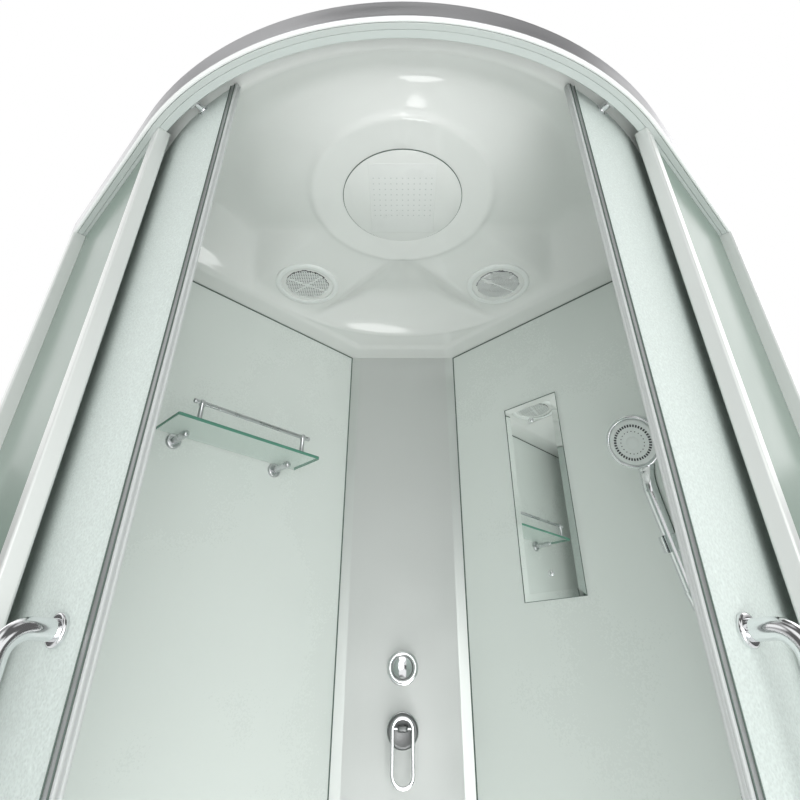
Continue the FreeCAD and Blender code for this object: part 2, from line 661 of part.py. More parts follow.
def drain():
    x, y = 0 - s.drain_offset, s.drain_offset
    top = s.floor_height + s.drain_flange_height
    flange = rod(s.drain_flange_radius, s.drain_flange_height, x, y, s.floor_height)
    tube_radius = s.drain_hole_radius - s.running_gap
    tube = rod(tube_radius, s.drain_tube_length, x, y, s.floor_height - s.drain_tube_length)
    length = s.drain_tube_length + s.drain_flange_height
    bore = rod(s.drain_bore_radius, length, x, y, s.floor_height - s.drain_tube_length)
    node("drain_body", cut(fuse(flange, tube), bore))
    under = s.floor_height - s.tray_wall
    cup = rod(s.drain_flange_radius, under - s.trap_floor, x, y, s.trap_floor)
    neck = rod(tube_radius + s.running_gap, s.trap_cap_height, x, y, under - s.trap_cap_height)
    hollow_height = under - s.trap_cap_height - s.trap_floor - s.trap_wall
    hollow = rod(s.drain_flange_radius - s.trap_wall, hollow_height, x, y, s.trap_floor + s.trap_wall)
    collar_reach = s.drain_flange_radius + s.outlet_collar_reach
    collar = rod(s.outlet_radius + s.trap_wall, collar_reach, x, y, s.outlet_height, "-X")
    reach = collar_reach + s.outlet_reach
    spigot = rod(s.outlet_radius, reach, x, y, s.outlet_height, "-X")
    way = rod(s.outlet_radius - s.trap_wall, reach, x, y, s.outlet_height, "-X")
    node("drain_trap", cut(fuse(cup, collar, spigot), neck, hollow, way))
    low = top + s.running_gap
    cap = rod(s.cover_radius, s.cover_height, x, y, low + s.cover_skirt_height)
    skirt_bore = s.cover_skirt_radius - s.cover_height
    skirt = ring(s.cover_skirt_radius, skirt_bore, s.cover_skirt_height, x, y, low)
    reach = s.cover_radius
    notches = [span((x - across, x + across), (y - along, y + along), (low, low + s.cover_skirt_height))
               for across, along in ((s.cover_notch / 2, reach), (reach, s.cover_notch / 2))]
    node("drain_cover", fuse(cap, cut(skirt, *notches)))


def track(z, height, outer):
    """The shelf of a rail: a strip along the front, wider where the track curves away from the sides."""
    sweep = track_end_angle * 2
    start = -45 - track_end_angle
    web = common(quadrant(outer, z, height), sector(s.side, bead_inner, z, height, start, sweep))
    return fuse(front_strip(outer, s.rail_width, z, height), web)


def bead(z):
    start = -45 - track_end_angle
    return sector(bead_inner + s.bead_width, bead_inner, z, s.bead_height, start, track_end_angle * 2)


def rails():
    out = s.lower_setback
    node("lower_rail", fuse(front_strip(out, out + s.rail_wall, s.tray_height, s.rail_height),
                            front_strip(out, s.rail_width, s.tray_height, s.rail_plate),
                            track(lower_top - s.rail_plate, s.rail_plate, out),
                            bead(lower_top - s.rail_plate - s.bead_height)))
    face_height = s.rail_height - s.rail_edge
    face = front_strip(0, s.rail_wall, rail_bottom + s.rail_edge, face_height)
    edge_outer = slab((0 - half, half), (0 - half, half), rail_bottom + s.rail_edge, s.rail_edge,
                      (None, s.corner_radius, None, None), s.rail_edge_angle, True)
    edge_inner = quadrant(s.rail_wall, rail_bottom, s.rail_edge, 0 - s.overrun)
    backs = [span((0 - half - s.overrun, 0 - half), (0 - half, half), (rail_bottom, s.rail_top)),
             span((0 - half, half), (half, half + s.overrun), (rail_bottom, s.rail_top))]
    edge = cut(edge_outer, edge_inner, *backs)
    lip = front_strip(s.rail_edge, s.rail_lip_width, roof_under - s.rail_plate, s.rail_plate)
    node("upper_rail", fuse(face, edge, track(rail_bottom, s.rail_plate, s.rail_edge), lip,
                            bead(rail_bottom + s.rail_plate)))


def hollow_post(x, y, z, wall):
    corner = s.post_round
    outside = slab(x, y, z[0], z[1] - z[0], (corner, corner, corner, corner))
    inside = span((x[0] + wall, x[1] - wall), (y[0] + wall, y[1] - wall), z)
    return cut(outside, inside)


def posts():
    rise = (lower_top, rail_bottom)
    near = (0 - half, s.post_size - half)
    far = (half - s.post_size, half)
    node("wall_posts", group(*[hollow_post(place, place, rise, s.post_wall) for place in (near, far)]))
    width = (s.jamb_inset - half, s.jamb_inset + s.jamb_depth - half)
    along = (arc_x - s.jamb_overlap, arc_x + s.jamb_width - s.jamb_overlap)
    node("left_jamb", hollow_post(along, width, rise, s.post_wall))
    mirrored_along, mirrored_width = (0 - along[1], 0 - along[0]), (0 - width[1], 0 - width[0])
    node("right_jamb", hollow_post(mirrored_width, mirrored_along, rise, s.post_wall))
    glass = (s.glass_inset - half, s.glass_inset + s.glass_thickness - half)
    length = (s.post_size - half, along[0])
    node("left_fixed_glass", span(length, glass, rise))
    node("right_fixed_glass", span((0 - glass[1], 0 - glass[0]), (0 - length[1], 0 - length[0]), rise))


def walls():
    face = (wall_x - s.panel_thickness, wall_x)
    edges = (s.post_size + s.gasket_width - half, wall_y - panel_end)
    rise = (s.tray_height + s.gasket_width, wall_top)
    wide = (edges[0] - s.gasket_width, edges[1] + s.gasket_width)
    tall = (s.tray_height, gasket_top)
    seal_face = (face[0], face[1] + s.gasket_proud)
    panels, seals = [], []
    for flip in (False, True):
        sides = [(face, edges), (seal_face, wide)]
        if flip:
            sides = [((0 - along[1], 0 - along[0]), (0 - across[1], 0 - across[0]))
                     for across, along in sides]
        panels.append(span(*sides[0], rise))
        thick = ((sides[0][0][0] - s.overrun, sides[0][0][1] + s.overrun), sides[0][1])
        if flip:
            thick = (sides[0][0], (sides[0][1][0] - s.overrun, sides[0][1][1] + s.overrun))
        seals.append(cut(span(*sides[1], tall), span(*thick, rise)))
    node("left_wall_panel", panels[0])
    node("right_wall_panel", panels[1])
    node("wall_gaskets", group(*seals))


def column():
    reach, face, sheet_depth = s.column_width / 2, 0 - s.column_cut, s.column_sheet
    fold = face + s.column_return
    section = [(0 - reach, face), (reach, face), (reach, fold), (reach - sheet_depth, fold),
               (reach - sheet_depth, face + sheet_depth), (sheet_depth - reach, face + sheet_depth),
               (sheet_depth - reach, fold), (0 - reach, fold)]
    panel = prism(section, s.tray_height, gasket_top - s.tray_height)
    holes = [rod(s.neck_radius + s.running_gap, s.column_return * 2, 0, face - s.overrun, height, "Y")
             for height in (s.mixer_height, s.diverter_height)]
    holes.append(rod(s.outlet_neck_radius + s.running_gap, s.column_return * 2, 0, face - s.overrun,
                     s.outlet_neck_height, "Y"))
    node("column_panel", cut(panel, *holes), column_frame)
    inward = (s.panel_thickness + s.gasket_proud) / root_two(1)
    back = s.trim_depth / root_two(1)
    edge = s.column_cut
    trims = []
    for side in (1, -1):
        corner = [(reach, 0 - edge), (edge, 0 - edge), (edge + inward, inward - edge),
                  (edge + inward - back, inward - edge + back), (reach, inward - edge + back)]
        points = [(x * side, y) for x, y in corner]
        trims.append(prism(points if side > 0 else points[::-1], s.tray_height, gasket_top - s.tray_height))
    node("column_trims", group(*trims), column_frame)


def dome(inset, low, top):
    """A block with slanted sides that fills or clears the dome."""
    front, back = inset, inset + s.wall_depth
    grown = s.dome_inset - inset
    radii = (s.dome_side_corner + grown, s.corner_radius - front, s.dome_side_corner + grown,
             s.dome_back_corner + grown)
    return slab((back - half, half - front), (front - half, half - back), low, top - low, radii,
                s.dome_slope_angle)


def hanging_boss(boss_low, arm_low, top, inset):
    """The round boss and its two arms, which hang down from the top of the dome."""
    slope = tangent(s.dome_slope_angle)
    rise = top - boss_low
    radius = s.boss_radius - inset
    pieces = [cone(radius, radius + rise * slope, rise, s.boss_offset, 0 - s.boss_offset, boss_low)]
    spread = (top - arm_low) * slope
    side = s.arm_width / 2 - inset + spread
    across = (0 - s.arm_offset - side, side - s.arm_offset)
    along = (inset - (half - s.arm_inset) - spread, s.boss_offset + spread)
    flipped = ((0 - across[1], 0 - across[0]), (0 - along[1], 0 - along[0]))
    for x, y in ((along, across), flipped):
        pieces.append(slab(x, y, top, top - arm_low, (None, None, None, None), s.dome_slope_angle, True))
    return fuse(*pieces)


def roof():
    seat = s.rail_wall + s.running_gap
    flange = quadrant(seat, roof_under, s.skin)
    shell = dome(s.dome_inset - s.skin, roof_under + s.skin, dome_top)
    hollow = cut(dome(s.dome_inset, roof_under, dome_top - s.skin),
                 hanging_boss(boss_face, arm_face, dome_top - s.skin, 0))
    sunk = hanging_boss(boss_face + s.skin, arm_face + s.skin, dome_top + s.overrun, s.dome_shell)
    inner = s.wall_depth + s.cornice_width
    low = gasket_top
    strips = [span((0 - half, inner - half), (s.post_size - half, half), (low, roof_under)),
              span((0 - half, half - s.post_size), (half - inner, half), (low, roof_under))]
    reach = root_two(half) / 2
    front = 0 - s.column_cut - s.cornice_width
    corner = prism([(0 - reach, front), (reach, front), (reach, 0), (0 - reach, 0)], low, roof_under - low)
    corner = seated(corner, column_frame)
    inside = span((wall_x - s.wall_depth, wall_y), (wall_x, wall_y + s.wall_depth), (low, roof_under))
    holes = [rod(s.boss_hole_radius, cabin_top, s.boss_offset, 0 - s.boss_offset, 0),
             rod(s.unit_hole_radius, cabin_top, 0 - unit_offset, 0 - s.arm_offset, 0),
             rod(s.unit_hole_radius, cabin_top, s.arm_offset, unit_offset, 0)]
    riser = s.riser_back / root_two(1)
    holes.append(rod(s.pipe_radius + s.running_gap, cabin_top, wall_x + riser, wall_y - riser, 0))
    whole = cut(fuse(flange, shell), hollow, sunk)
    node("roof", cut(fuse(whole, *strips, common(corner, inside)), *holes))


def overhead_shower():
    low = boss_face - s.plate_height
    frame = turned(s.boss_offset, 0 - s.boss_offset, 0, 45)
    width, length = s.head_width / 2, s.head_length / 2
    opening = span((0 - width, width), (0 - length, length), (low, boss_face))
    node("rain_plate", cut(rod(s.plate_radius, s.plate_height, 0, 0, low), opening), frame)
    gap = s.running_gap
    face = span((gap - width, width - gap), (gap - length, length - gap), (low, boss_face))
    inner_width, inner_length = s.head_body_width / 2, s.head_body_length / 2
    body_top = boss_face + s.head_body_height
    body = span((0 - inner_width, inner_width), (0 - inner_length, inner_length), (boss_face, body_top))
    neck_top = cabin_top - s.pipe_radius - s.pipe_elbow_radius
    neck = rod(s.pipe_elbow_radius, neck_top - body_top, 0, 0, body_top)
    node("rain_head", fuse(face, body, neck), frame)


def valves():
    face = 0 - s.column_cut
    front = face + s.block_behind
    width = s.block_width / 2
    rise = (s.mixer_height - s.block_margin, s.diverter_height + s.block_margin)
    body = span((0 - width, width), (front, front + s.block_depth), rise)
    necks = [rod(s.neck_radius, s.block_behind + s.neck_reach, 0, front, height, "-Y")
             for height in (s.mixer_height, s.diverter_height)]
    node("valve_block", fuse(body, *necks), column_frame)
    bore = s.neck_radius + s.slot_gap
    node("valve_plates", group(*[ring(s.plate_ring_radius, bore, s.plate_ring_height, 0, face, height, "-Y")
                                 for height in (s.mixer_height, s.diverter_height)]), column_frame)
    end = face - s.neck_reach
    cartridge = rod(s.cartridge_radius, s.cartridge_length, 0, end, s.mixer_height, "-Y")
    node("mixer_cartridge", group(cartridge), column_frame)
    start = face - s.plate_ring_height - s.running_gap
    shell = rod(s.cap_radius, s.cap_length, 0, start, s.mixer_height, "-Y")
    bore_length = s.cap_length - s.cap_front
    neck_room = s.neck_radius + s.running_gap
    hollow = rod(neck_room, bore_length, 0, start, s.mixer_height, "-Y")
    front_face = start - s.cap_length
    pivot_z = s.mixer_height + s.lever_rise
    pivot_y = front_face - s.lever_stand
    boss_half = s.lever_slot_width / 2 - s.pivot_boss_gap
    boss = rod(s.pivot_boss_radius, boss_half * 2, 0 - boss_half, pivot_y, pivot_z, "X")
    root = span((0 - boss_half, boss_half), (pivot_y, front_face),
                (pivot_z - s.pivot_boss_radius, pivot_z + s.pivot_boss_radius))
    eye = rod(s.pivot_radius + s.shaft_play, boss_half * 2, 0 - boss_half, pivot_y, pivot_z, "X")
    node("mixer_cap", cut(fuse(shell, boss, root), hollow, eye), column_frame)
    thick = s.lever_thickness / 2
    top, tip = pivot_z + s.lever_top, pivot_z - s.lever_length
    loops = []
    for reach, length, edge in ((s.lever_width / 2, s.lever_thickness, s.lever_width / 2),
                                (s.lever_slot_width / 2, s.lever_thickness, s.lever_width / 2)):
        ends = [rod(reach, length, 0, pivot_y + thick, height, "-Y") for height in (tip + edge, top - edge)]
        middle = span((0 - reach, reach), (pivot_y - thick, pivot_y + thick), (tip + edge, top - edge))
        loops.append(fuse(middle, *ends))
    pin = rod(s.pivot_radius, s.lever_width - thick, thick / 2 - s.lever_width / 2, pivot_y, pivot_z, "X")
    node("mixer_lever", fuse(cut(*loops), pin), column_frame)
    knob = rod(s.knob_radius, s.knob_length, 0, start, s.diverter_height, "-Y")
    face_cut = rod(s.knob_face_radius, s.knob_face_depth, 0, start - s.knob_length + s.knob_face_depth,
                   s.diverter_height, "-Y")
    neck_cut = rod(neck_room, s.neck_reach, 0, start, s.diverter_height, "-Y")
    node("diverter_knob", cut(knob, face_cut, neck_cut), column_frame)


def pipes():
    front = s.block_behind - s.column_cut + s.block_depth / 2
    back = s.block_behind - s.column_cut + s.block_depth
    pieces = []
    for side in (-1, 1):
        x = s.tail_offset * side
        tail = rod(s.tail_radius, s.tail_length, x, back, s.mixer_height, "Y")
        thread = rod(s.thread_radius, s.thread_length, x, back + s.tail_length, s.mixer_height, "Y")
        pieces.append(fuse(tail, thread))
    base = s.diverter_height + s.block_margin
    top = cabin_top - s.pipe_radius
    riser_y = 0 - s.riser_back
    jog = rod(s.pipe_elbow_radius, s.jog_length, 0, front, base)
    jog_top = base + s.jog_length
    low_ball = ball(s.pipe_elbow_radius, 0, front, jog_top)
    link = rod(s.pipe_radius, riser_y - front, 0, front, jog_top, "Y")
    high_ball = ball(s.pipe_elbow_radius, 0, riser_y, jog_top)
    riser = rod(s.pipe_radius, top - jog_top, 0, riser_y, jog_top)
    corner_ball = ball(s.pipe_radius, 0, riser_y, top)
    reach = root_two(wall_y + s.boss_offset) - s.riser_back
    run = rod(s.pipe_radius, reach, 0, riser_y, top, "-Y")
    end_ball = ball(s.pipe_radius, 0, riser_y - reach, top)
    drop = rod(s.pipe_radius, s.pipe_elbow_radius, 0, riser_y - reach, top - s.pipe_elbow_radius)
    pieces.append(fuse(jog, low_ball, link, high_ball, riser, corner_ball, run, end_ball, drop))
    node("water_pipes", group(*pieces), column_frame)


def bars(low, along_x, slant=False):
    """Parallel bars of a round grille, each as long as the round field allows."""
    pieces = []
    count = int(s.grille_radius / s.grille_pitch)
    for step in range(-count, count + 1):
        offset = s.grille_pitch * step
        reach = math.sqrt(max(s.grille_radius ** 2 - offset ** 2, 0))
        if reach <= s.grille_bar:
            continue
        bar = (offset - s.grille_bar / 2, offset + s.grille_bar / 2)
        length = (0 - s.grille_radius, s.grille_radius)
        sides = (length, bar) if along_x else (bar, length)
        pieces.append(span(*sides, (low, low + s.grille_bar)))
    return pieces


def grilles():
    low = arm_face - s.bezel_height
    for name, x, y, crossed in (("speaker_grille", 0 - unit_offset, 0 - s.arm_offset, True),
                                ("fan_grille", s.arm_offset, unit_offset, False)):
        frame = turned(x, y, 0, 45)
        bezel = ring(s.bezel_radius, s.grille_radius, s.bezel_height, 0, 0, low)
        spine = span((0 - s.grille_bar, s.grille_bar), (0 - s.grille_radius, s.grille_radius),
                     (low, low + s.grille_bar))
        across = bars(low, False) if crossed else [spine]
        field = common(fuse(*bars(low, True), *across), rod(s.grille_radius, s.bezel_height, 0, 0, low))
        node(name, fuse(bezel, field), frame)


def speaker():
    x, y, low = 0 - unit_offset, 0 - s.arm_offset, arm_face + s.skin
    rim = rod(s.driver_rim_radius, s.driver_rim_height, x, y, low)
    body = cone(s.driver_cone_radius, s.magnet_radius, s.driver_cone_height, x, y, low + s.driver_rim_height)
    magnet_low = low + s.driver_rim_height + s.driver_cone_height
    magnet = rod(s.magnet_radius, s.magnet_height, x, y, magnet_low)
    hollow = cone(s.driver_cone_radius - s.skin, s.magnet_radius / 2, s.driver_cone_height, x, y, low)
    node("speaker_driver", cut(fuse(rim, body, magnet), hollow))


def fan():
    x, y, low = s.arm_offset, unit_offset, arm_face
    outer = s.unit_hole_radius - s.running_gap
    inner = outer - s.duct_wall
    top = low + s.duct_height
    duct = ring(outer, inner, s.duct_height, x, y, low)
    flange = ring(s.driver_rim_radius, inner, s.driver_rim_height, x, y, low + s.skin)
    motor_low = top - s.motor_height
    motor = rod(s.motor_radius, s.motor_height, x, y, motor_low)
    thin = s.motor_arm_width / 2
    rise = (top - s.motor_arm_width, top)
    arms = [span((x - inner, x + inner), (y - thin, y + thin), rise),
            span((x - thin, x + thin), (y - inner, y + inner), rise)]
    bearing = rod(s.shaft_radius + s.shaft_play, s.motor_height - s.motor_floor, x, y, motor_low)
    node("fan_housing", cut(fuse(duct, flange, motor, *arms), bearing))
    hub_top = motor_low - s.running_gap * 2
    hub = rod(s.hub_radius, s.hub_height, 0, 0, hub_top - s.hub_height)
    shaft = rod(s.shaft_radius, s.hub_height + s.motor_height / 2, 0, 0, hub_top - s.hub_height)
    reach = inner - s.blade_tip_gap
    count = int(s.blade_count)
    blades = []
    for blade in range(count):
        plate = block(0, 0 - s.blade_thickness / 2, 0 - s.hub_height, reach, s.blade_thickness,
                      s.hub_height * 2)
        lean = FreeCAD.Rotation(AXES["X"], float(s.blade_lean_angle))
        spin = FreeCAD.Rotation(UP, 360 * blade / count)
        middle = FreeCAD.Vector(0, 0, hub_top - s.hub_height / 2)
        blades.append(seated(plate, FreeCAD.Placement(middle, spin.multiply(lean))))
    disc = rod(reach, s.hub_height, 0, 0, hub_top - s.hub_height)
    frame = FreeCAD.Placement(FreeCAD.Vector(x, y, 0), FreeCAD.Rotation())
    node("fan_rotor", fuse(common(fuse(*blades), disc), hub, shaft), frame)


def shelf():
    low = s.rail_top - s.shelf_drop - s.shelf_glass / 2
    top = low + s.shelf_glass
    x = (wall_x + s.shelf_gap, wall_x + s.shelf_gap + s.shelf_depth)
    y = (wall_y - s.shelf_start - s.shelf_length, wall_y - s.shelf_start)
    node("shelf_glass", slab(x, y, low, s.shelf_glass, (None, s.shelf_corner, s.shelf_corner, None)))
    ends = (y[0] + s.shelf_post_inset, y[1] - s.shelf_post_inset)
    arm_z = low - s.bracket_radius - s.running_gap
    brackets = []
    for place in ends:
        wall_plate = rod(s.bracket_plate_radius, s.bracket_plate_height, wall_x, place, arm_z, "X")
        arm = rod(s.bracket_radius, s.bracket_reach, wall_x, place, arm_z, "X")
        tip = ball(s.bracket_radius, wall_x + s.bracket_reach, place, arm_z)
        brackets.append(fuse(wall_plate, arm, tip))
    node("shelf_brackets", group(*brackets))
    front = x[1] - s.shelf_post_edge
    rail_z = top + s.shelf_rail_rise
    pieces = [rod(s.shelf_post_radius, s.shelf_rail_rise, front, place, top) for place in ends]
    past = s.shelf_rail_past
    pieces.append(rod(s.shelf_rail_radius, ends[1] - ends[0] + past * 2, front, ends[0] - past, rail_z, "Y"))
    pieces += [ball(s.shelf_rail_radius, front, place, rail_z) for place in (ends[0] - past, ends[1] + past)]
    pieces += [ball(s.shelf_post_cap_radius, front, place, rail_z) for place in ends]
    node("shelf_rail", fuse(*pieces))


def mirror():
    x = (wall_x + s.mirror_start, wall_x + s.mirror_start + s.mirror_width)
    top = s.rail_top - s.mirror_drop
    z = (top - s.mirror_length, top)
    thick = s.mirror_thickness - s.mirror_bevel_depth
    back = span(x, (wall_y - thick, wall_y), z)
    bevel = doc.addObject("Part::Wedge", "bevel")
    width, depth = s.mirror_bevel_width, s.mirror_bevel_depth
    bind(bevel, Xmin=0, Ymin=0, Zmin=0, Xmax=s.mirror_width, Ymax=depth, Zmax=s.mirror_length,
         X2min=width, Z2min=width, X2max=s.mirror_width - width, Z2max=s.mirror_length - width)
    bevel.Placement = FreeCAD.Placement(FreeCAD.Vector(x[0], wall_y - thick, z[1]),
                                        FreeCAD.Rotation(AXES["X"], 180))
    node("mirror", fuse(back, bevel))
    middle = x[0] + s.mirror_width / 2
    front = wall_y - s.mirror_thickness
    heights = (z[0] + s.mirror_screw_inset, z[1] - s.mirror_screw_inset)
    caps = [rod(s.mirror_screw_radius, s.mirror_screw_height, middle, front, height, "-Y")
            for height in heights]
    node("mirror_screws", group(*caps))


def hose_outlet():
    face = 0 - s.column_cut
    z = s.outlet_neck_height
    cover = rod(s.outlet_plate_radius, s.plate_ring_height, 0, face, z, "-Y")
    inside = face + s.column_return
    neck = rod(s.outlet_neck_radius, s.outlet_neck_reach + s.column_return, 0, inside, z, "-Y")
    elbow = ball(s.outlet_neck_radius, 0, face - s.outlet_neck_reach, z)
    spigot = rod(s.outlet_neck_radius, s.outlet_drop, 0, face - s.outlet_neck_reach, z - s.outlet_drop)
    bottom = z - s.outlet_drop - s.outlet_nut_length
    nut = rod(s.outlet_nut_radius, s.outlet_nut_length, 0, face - s.outlet_neck_reach, bottom)
    bore = rod(s.hose_radius + s.hose_gap, s.outlet_nut_length, 0, face - s.outlet_neck_reach, bottom)
    node("hose_outlet", cut(fuse(cover, neck, elbow, spigot, nut), bore), column_frame)


def hose():
    """Straight runs joined by tangent arcs, each as large as its two runs allow."""
    points = [FreeCAD.Vector(*point) for point in HOSE_ROUTE]
    edges, radii = [], []
    start = points[0]
    for before, point, after in zip(points, points[1:], points[2:]):
        back, ahead = before - point, after - point
        reach = HOSE_ARC_SHARE * min(back.Length, ahead.Length)
        turn = math.pi - back.getAngle(ahead)
        radius = reach / math.tan(turn / 2)
        radii.append(radius)
        back.normalize()
        ahead.normalize()
        enter, leave = point + back * reach, point + ahead * reach
        bisector = (back + ahead).normalize()
        centre = point + bisector * (radius / math.cos(turn / 2))
        edges.append(Part.LineSegment(start, enter).toShape())
        edges.append(Part.Arc(enter, centre - bisector * radius, leave).toShape())
        start = leave
    edges.append(Part.LineSegment(start, points[-1]).toShape())
    path = Part.Wire(edges)
    direction = (points[1] - points[0]).normalize()
    section = Part.Wire([Part.Circle(points[0], direction, float(s.hose_radius)).toShape()])
    tube = path.makePipeShell([section], True, False)
    expected = math.pi * s.hose_radius ** 2 * path.Length
    print("hose length", round(path.Length), "smallest arc", round(min(radii)),
          "volume share", round(tube.Volume / expected, 4))
    thing = doc.addObject("Part::Feature", "hose")
    thing.Shape = tube
    node("shower_hose", thing)


def hand_frame():
    """The hand shower's own frame: +Z up the handle, -Y out of the spray face."""
    lean = FreeCAD.Rotation(AXES["X"], float(s.hand_lean_angle))
    side = FreeCAD.Rotation(AXES["Y"], 0 - float(s.hand_side_angle))
    place = FreeCAD.Vector(s.hand_x, wall_y - s.hand_wall_gap, s.hand_z)
    return FreeCAD.Placement(place, side.multiply(lean))


def hand_shower():
    frame = hand_frame()
    handle = cone(s.hand_radius, s.hand_top_radius, s.hand_length, 0, 0, 0)
    nut = cone(s.nut_radius, s.hand_radius + s.skin / 2, s.nut_length, 0, 0, 0 - s.nut_length)
    tip = FreeCAD.Rotation(AXES["X"], float(s.hand_head_tip_angle))
    seat = FreeCAD.Placement(FreeCAD.Vector(0, 0, s.hand_head_rise), tip)
    rim = rod(s.hand_head_radius, s.hand_head_depth, 0, 0, 0, "Y")
    dome_back = doc.addObject("Part::Ellipsoid", "dome_back")
    bind(dome_back, Radius1=s.hand_head_dome, Radius2=s.hand_head_radius, Radius3=s.hand_head_radius)
    moved(dome_back, 0, s.hand_head_depth, 0, FreeCAD.Rotation(UP, AXES["Y"]))
    head = seated(fuse(rim, dome_back), seat)
    neck = cone(s.hand_top_radius, s.neck_top_radius, s.hand_head_rise - s.hand_length, 0, 0, s.hand_length)
    bore = rod(s.hose_radius + s.hose_gap, s.hand_bore_depth + s.nut_length, 0, 0, 0 - s.nut_length)
    room = s.hand_head_depth
    recess = seated(rod(s.spray_radius + s.running_gap, s.spray_sink + room, 0, 0 - room, 0, "Y"), seat)
    chamber = seated(rod(s.chamber_radius, s.chamber_depth, 0, s.spray_sink + s.skin, 0, "Y"), seat)
    way = rod(s.water_way_radius, s.hand_head_rise, 0, 0, 0)
    node("hand_shower", cut(fuse(handle, nut, head, neck), bore, way, chamber, recess), frame)
    disc = rod(s.spray_radius, s.spray_depth, 0, s.spray_sink - s.running_gap - s.spray_depth, 0, "Y")
    node("spray_face", group(disc), frame.multiply(seat))


def holder():
    frame = hand_frame()
    rise = (s.holder_height - s.hand_z) / math.cos(math.radians(s.hand_lean_angle))
    middle = frame.multVec(FreeCAD.Vector(0, 0, rise))
    z = s.holder_height
    pivot_y = wall_y - s.holder_pivot_reach
    side = FreeCAD.Rotation(AXES["Y"], 0 - float(s.hand_side_angle))
    reach = s.holder_pivot_reach
    wall_plate = rod(s.holder_plate_radius, s.holder_plate_height, 0, 0, 0, "-Y")
    arm = rod(s.holder_arm_radius, reach, 0, 0, 0, "-Y")
    ear = rod(s.holder_ear_radius, s.holder_fork_width, 0 - s.holder_fork_width / 2, 0 - reach, 0, "X")
    gap_half = s.holder_tongue_width / 2 + s.running_gap
    gap = rod(s.holder_ear_radius + s.running_gap, gap_half * 2, 0 - gap_half, 0 - reach, 0, "X")
    pin = rod(s.holder_pin_radius, s.holder_fork_width, 0 - s.holder_fork_width / 2, 0 - reach, 0, "X")
    node("holder_base", fuse(cut(fuse(wall_plate, arm, ear), gap), pin),
         FreeCAD.Placement(FreeCAD.Vector(middle.x, wall_y, z), side))
    local = frame.inverse().multVec(FreeCAD.Vector(middle.x, pivot_y, z))
    half_ring = s.holder_ring_height / 2
    outer = rod(s.holder_ring_radius, s.holder_ring_height, 0, 0, rise - half_ring)
    room = s.running_gap
    low_share = (rise - half_ring) / s.hand_length
    high_share = (rise + half_ring) / s.hand_length
    grow = s.hand_top_radius - s.hand_radius
    bore = cone(s.hand_radius + grow * low_share + room, s.hand_radius + grow * high_share + room,
                s.holder_ring_height, 0, 0, rise - half_ring)
    mouth = span((0 - s.holder_mouth / 2, s.holder_mouth / 2), (0 - s.holder_ring_radius - s.overrun, 0),
                 (rise - half_ring, rise + half_ring))
    tongue_half = s.holder_tongue_width / 2
    tongue = span((0 - tongue_half, tongue_half), (s.hand_top_radius + room, local.y),
                  (local.z - s.holder_ear_radius / 2, local.z + s.holder_ear_radius / 2))
    knuckle = rod(s.holder_ear_radius, s.holder_tongue_width, 0 - tongue_half, local.y, local.z, "X")
    eye = rod(s.holder_pin_radius + s.shaft_play, s.holder_tongue_width * 2, 0 - s.holder_tongue_width,
              local.y, local.z, "X")
    clamp = cut(fuse(outer, tongue, knuckle), bore, mouth, eye)
    node("holder_clamp", clamp, frame)


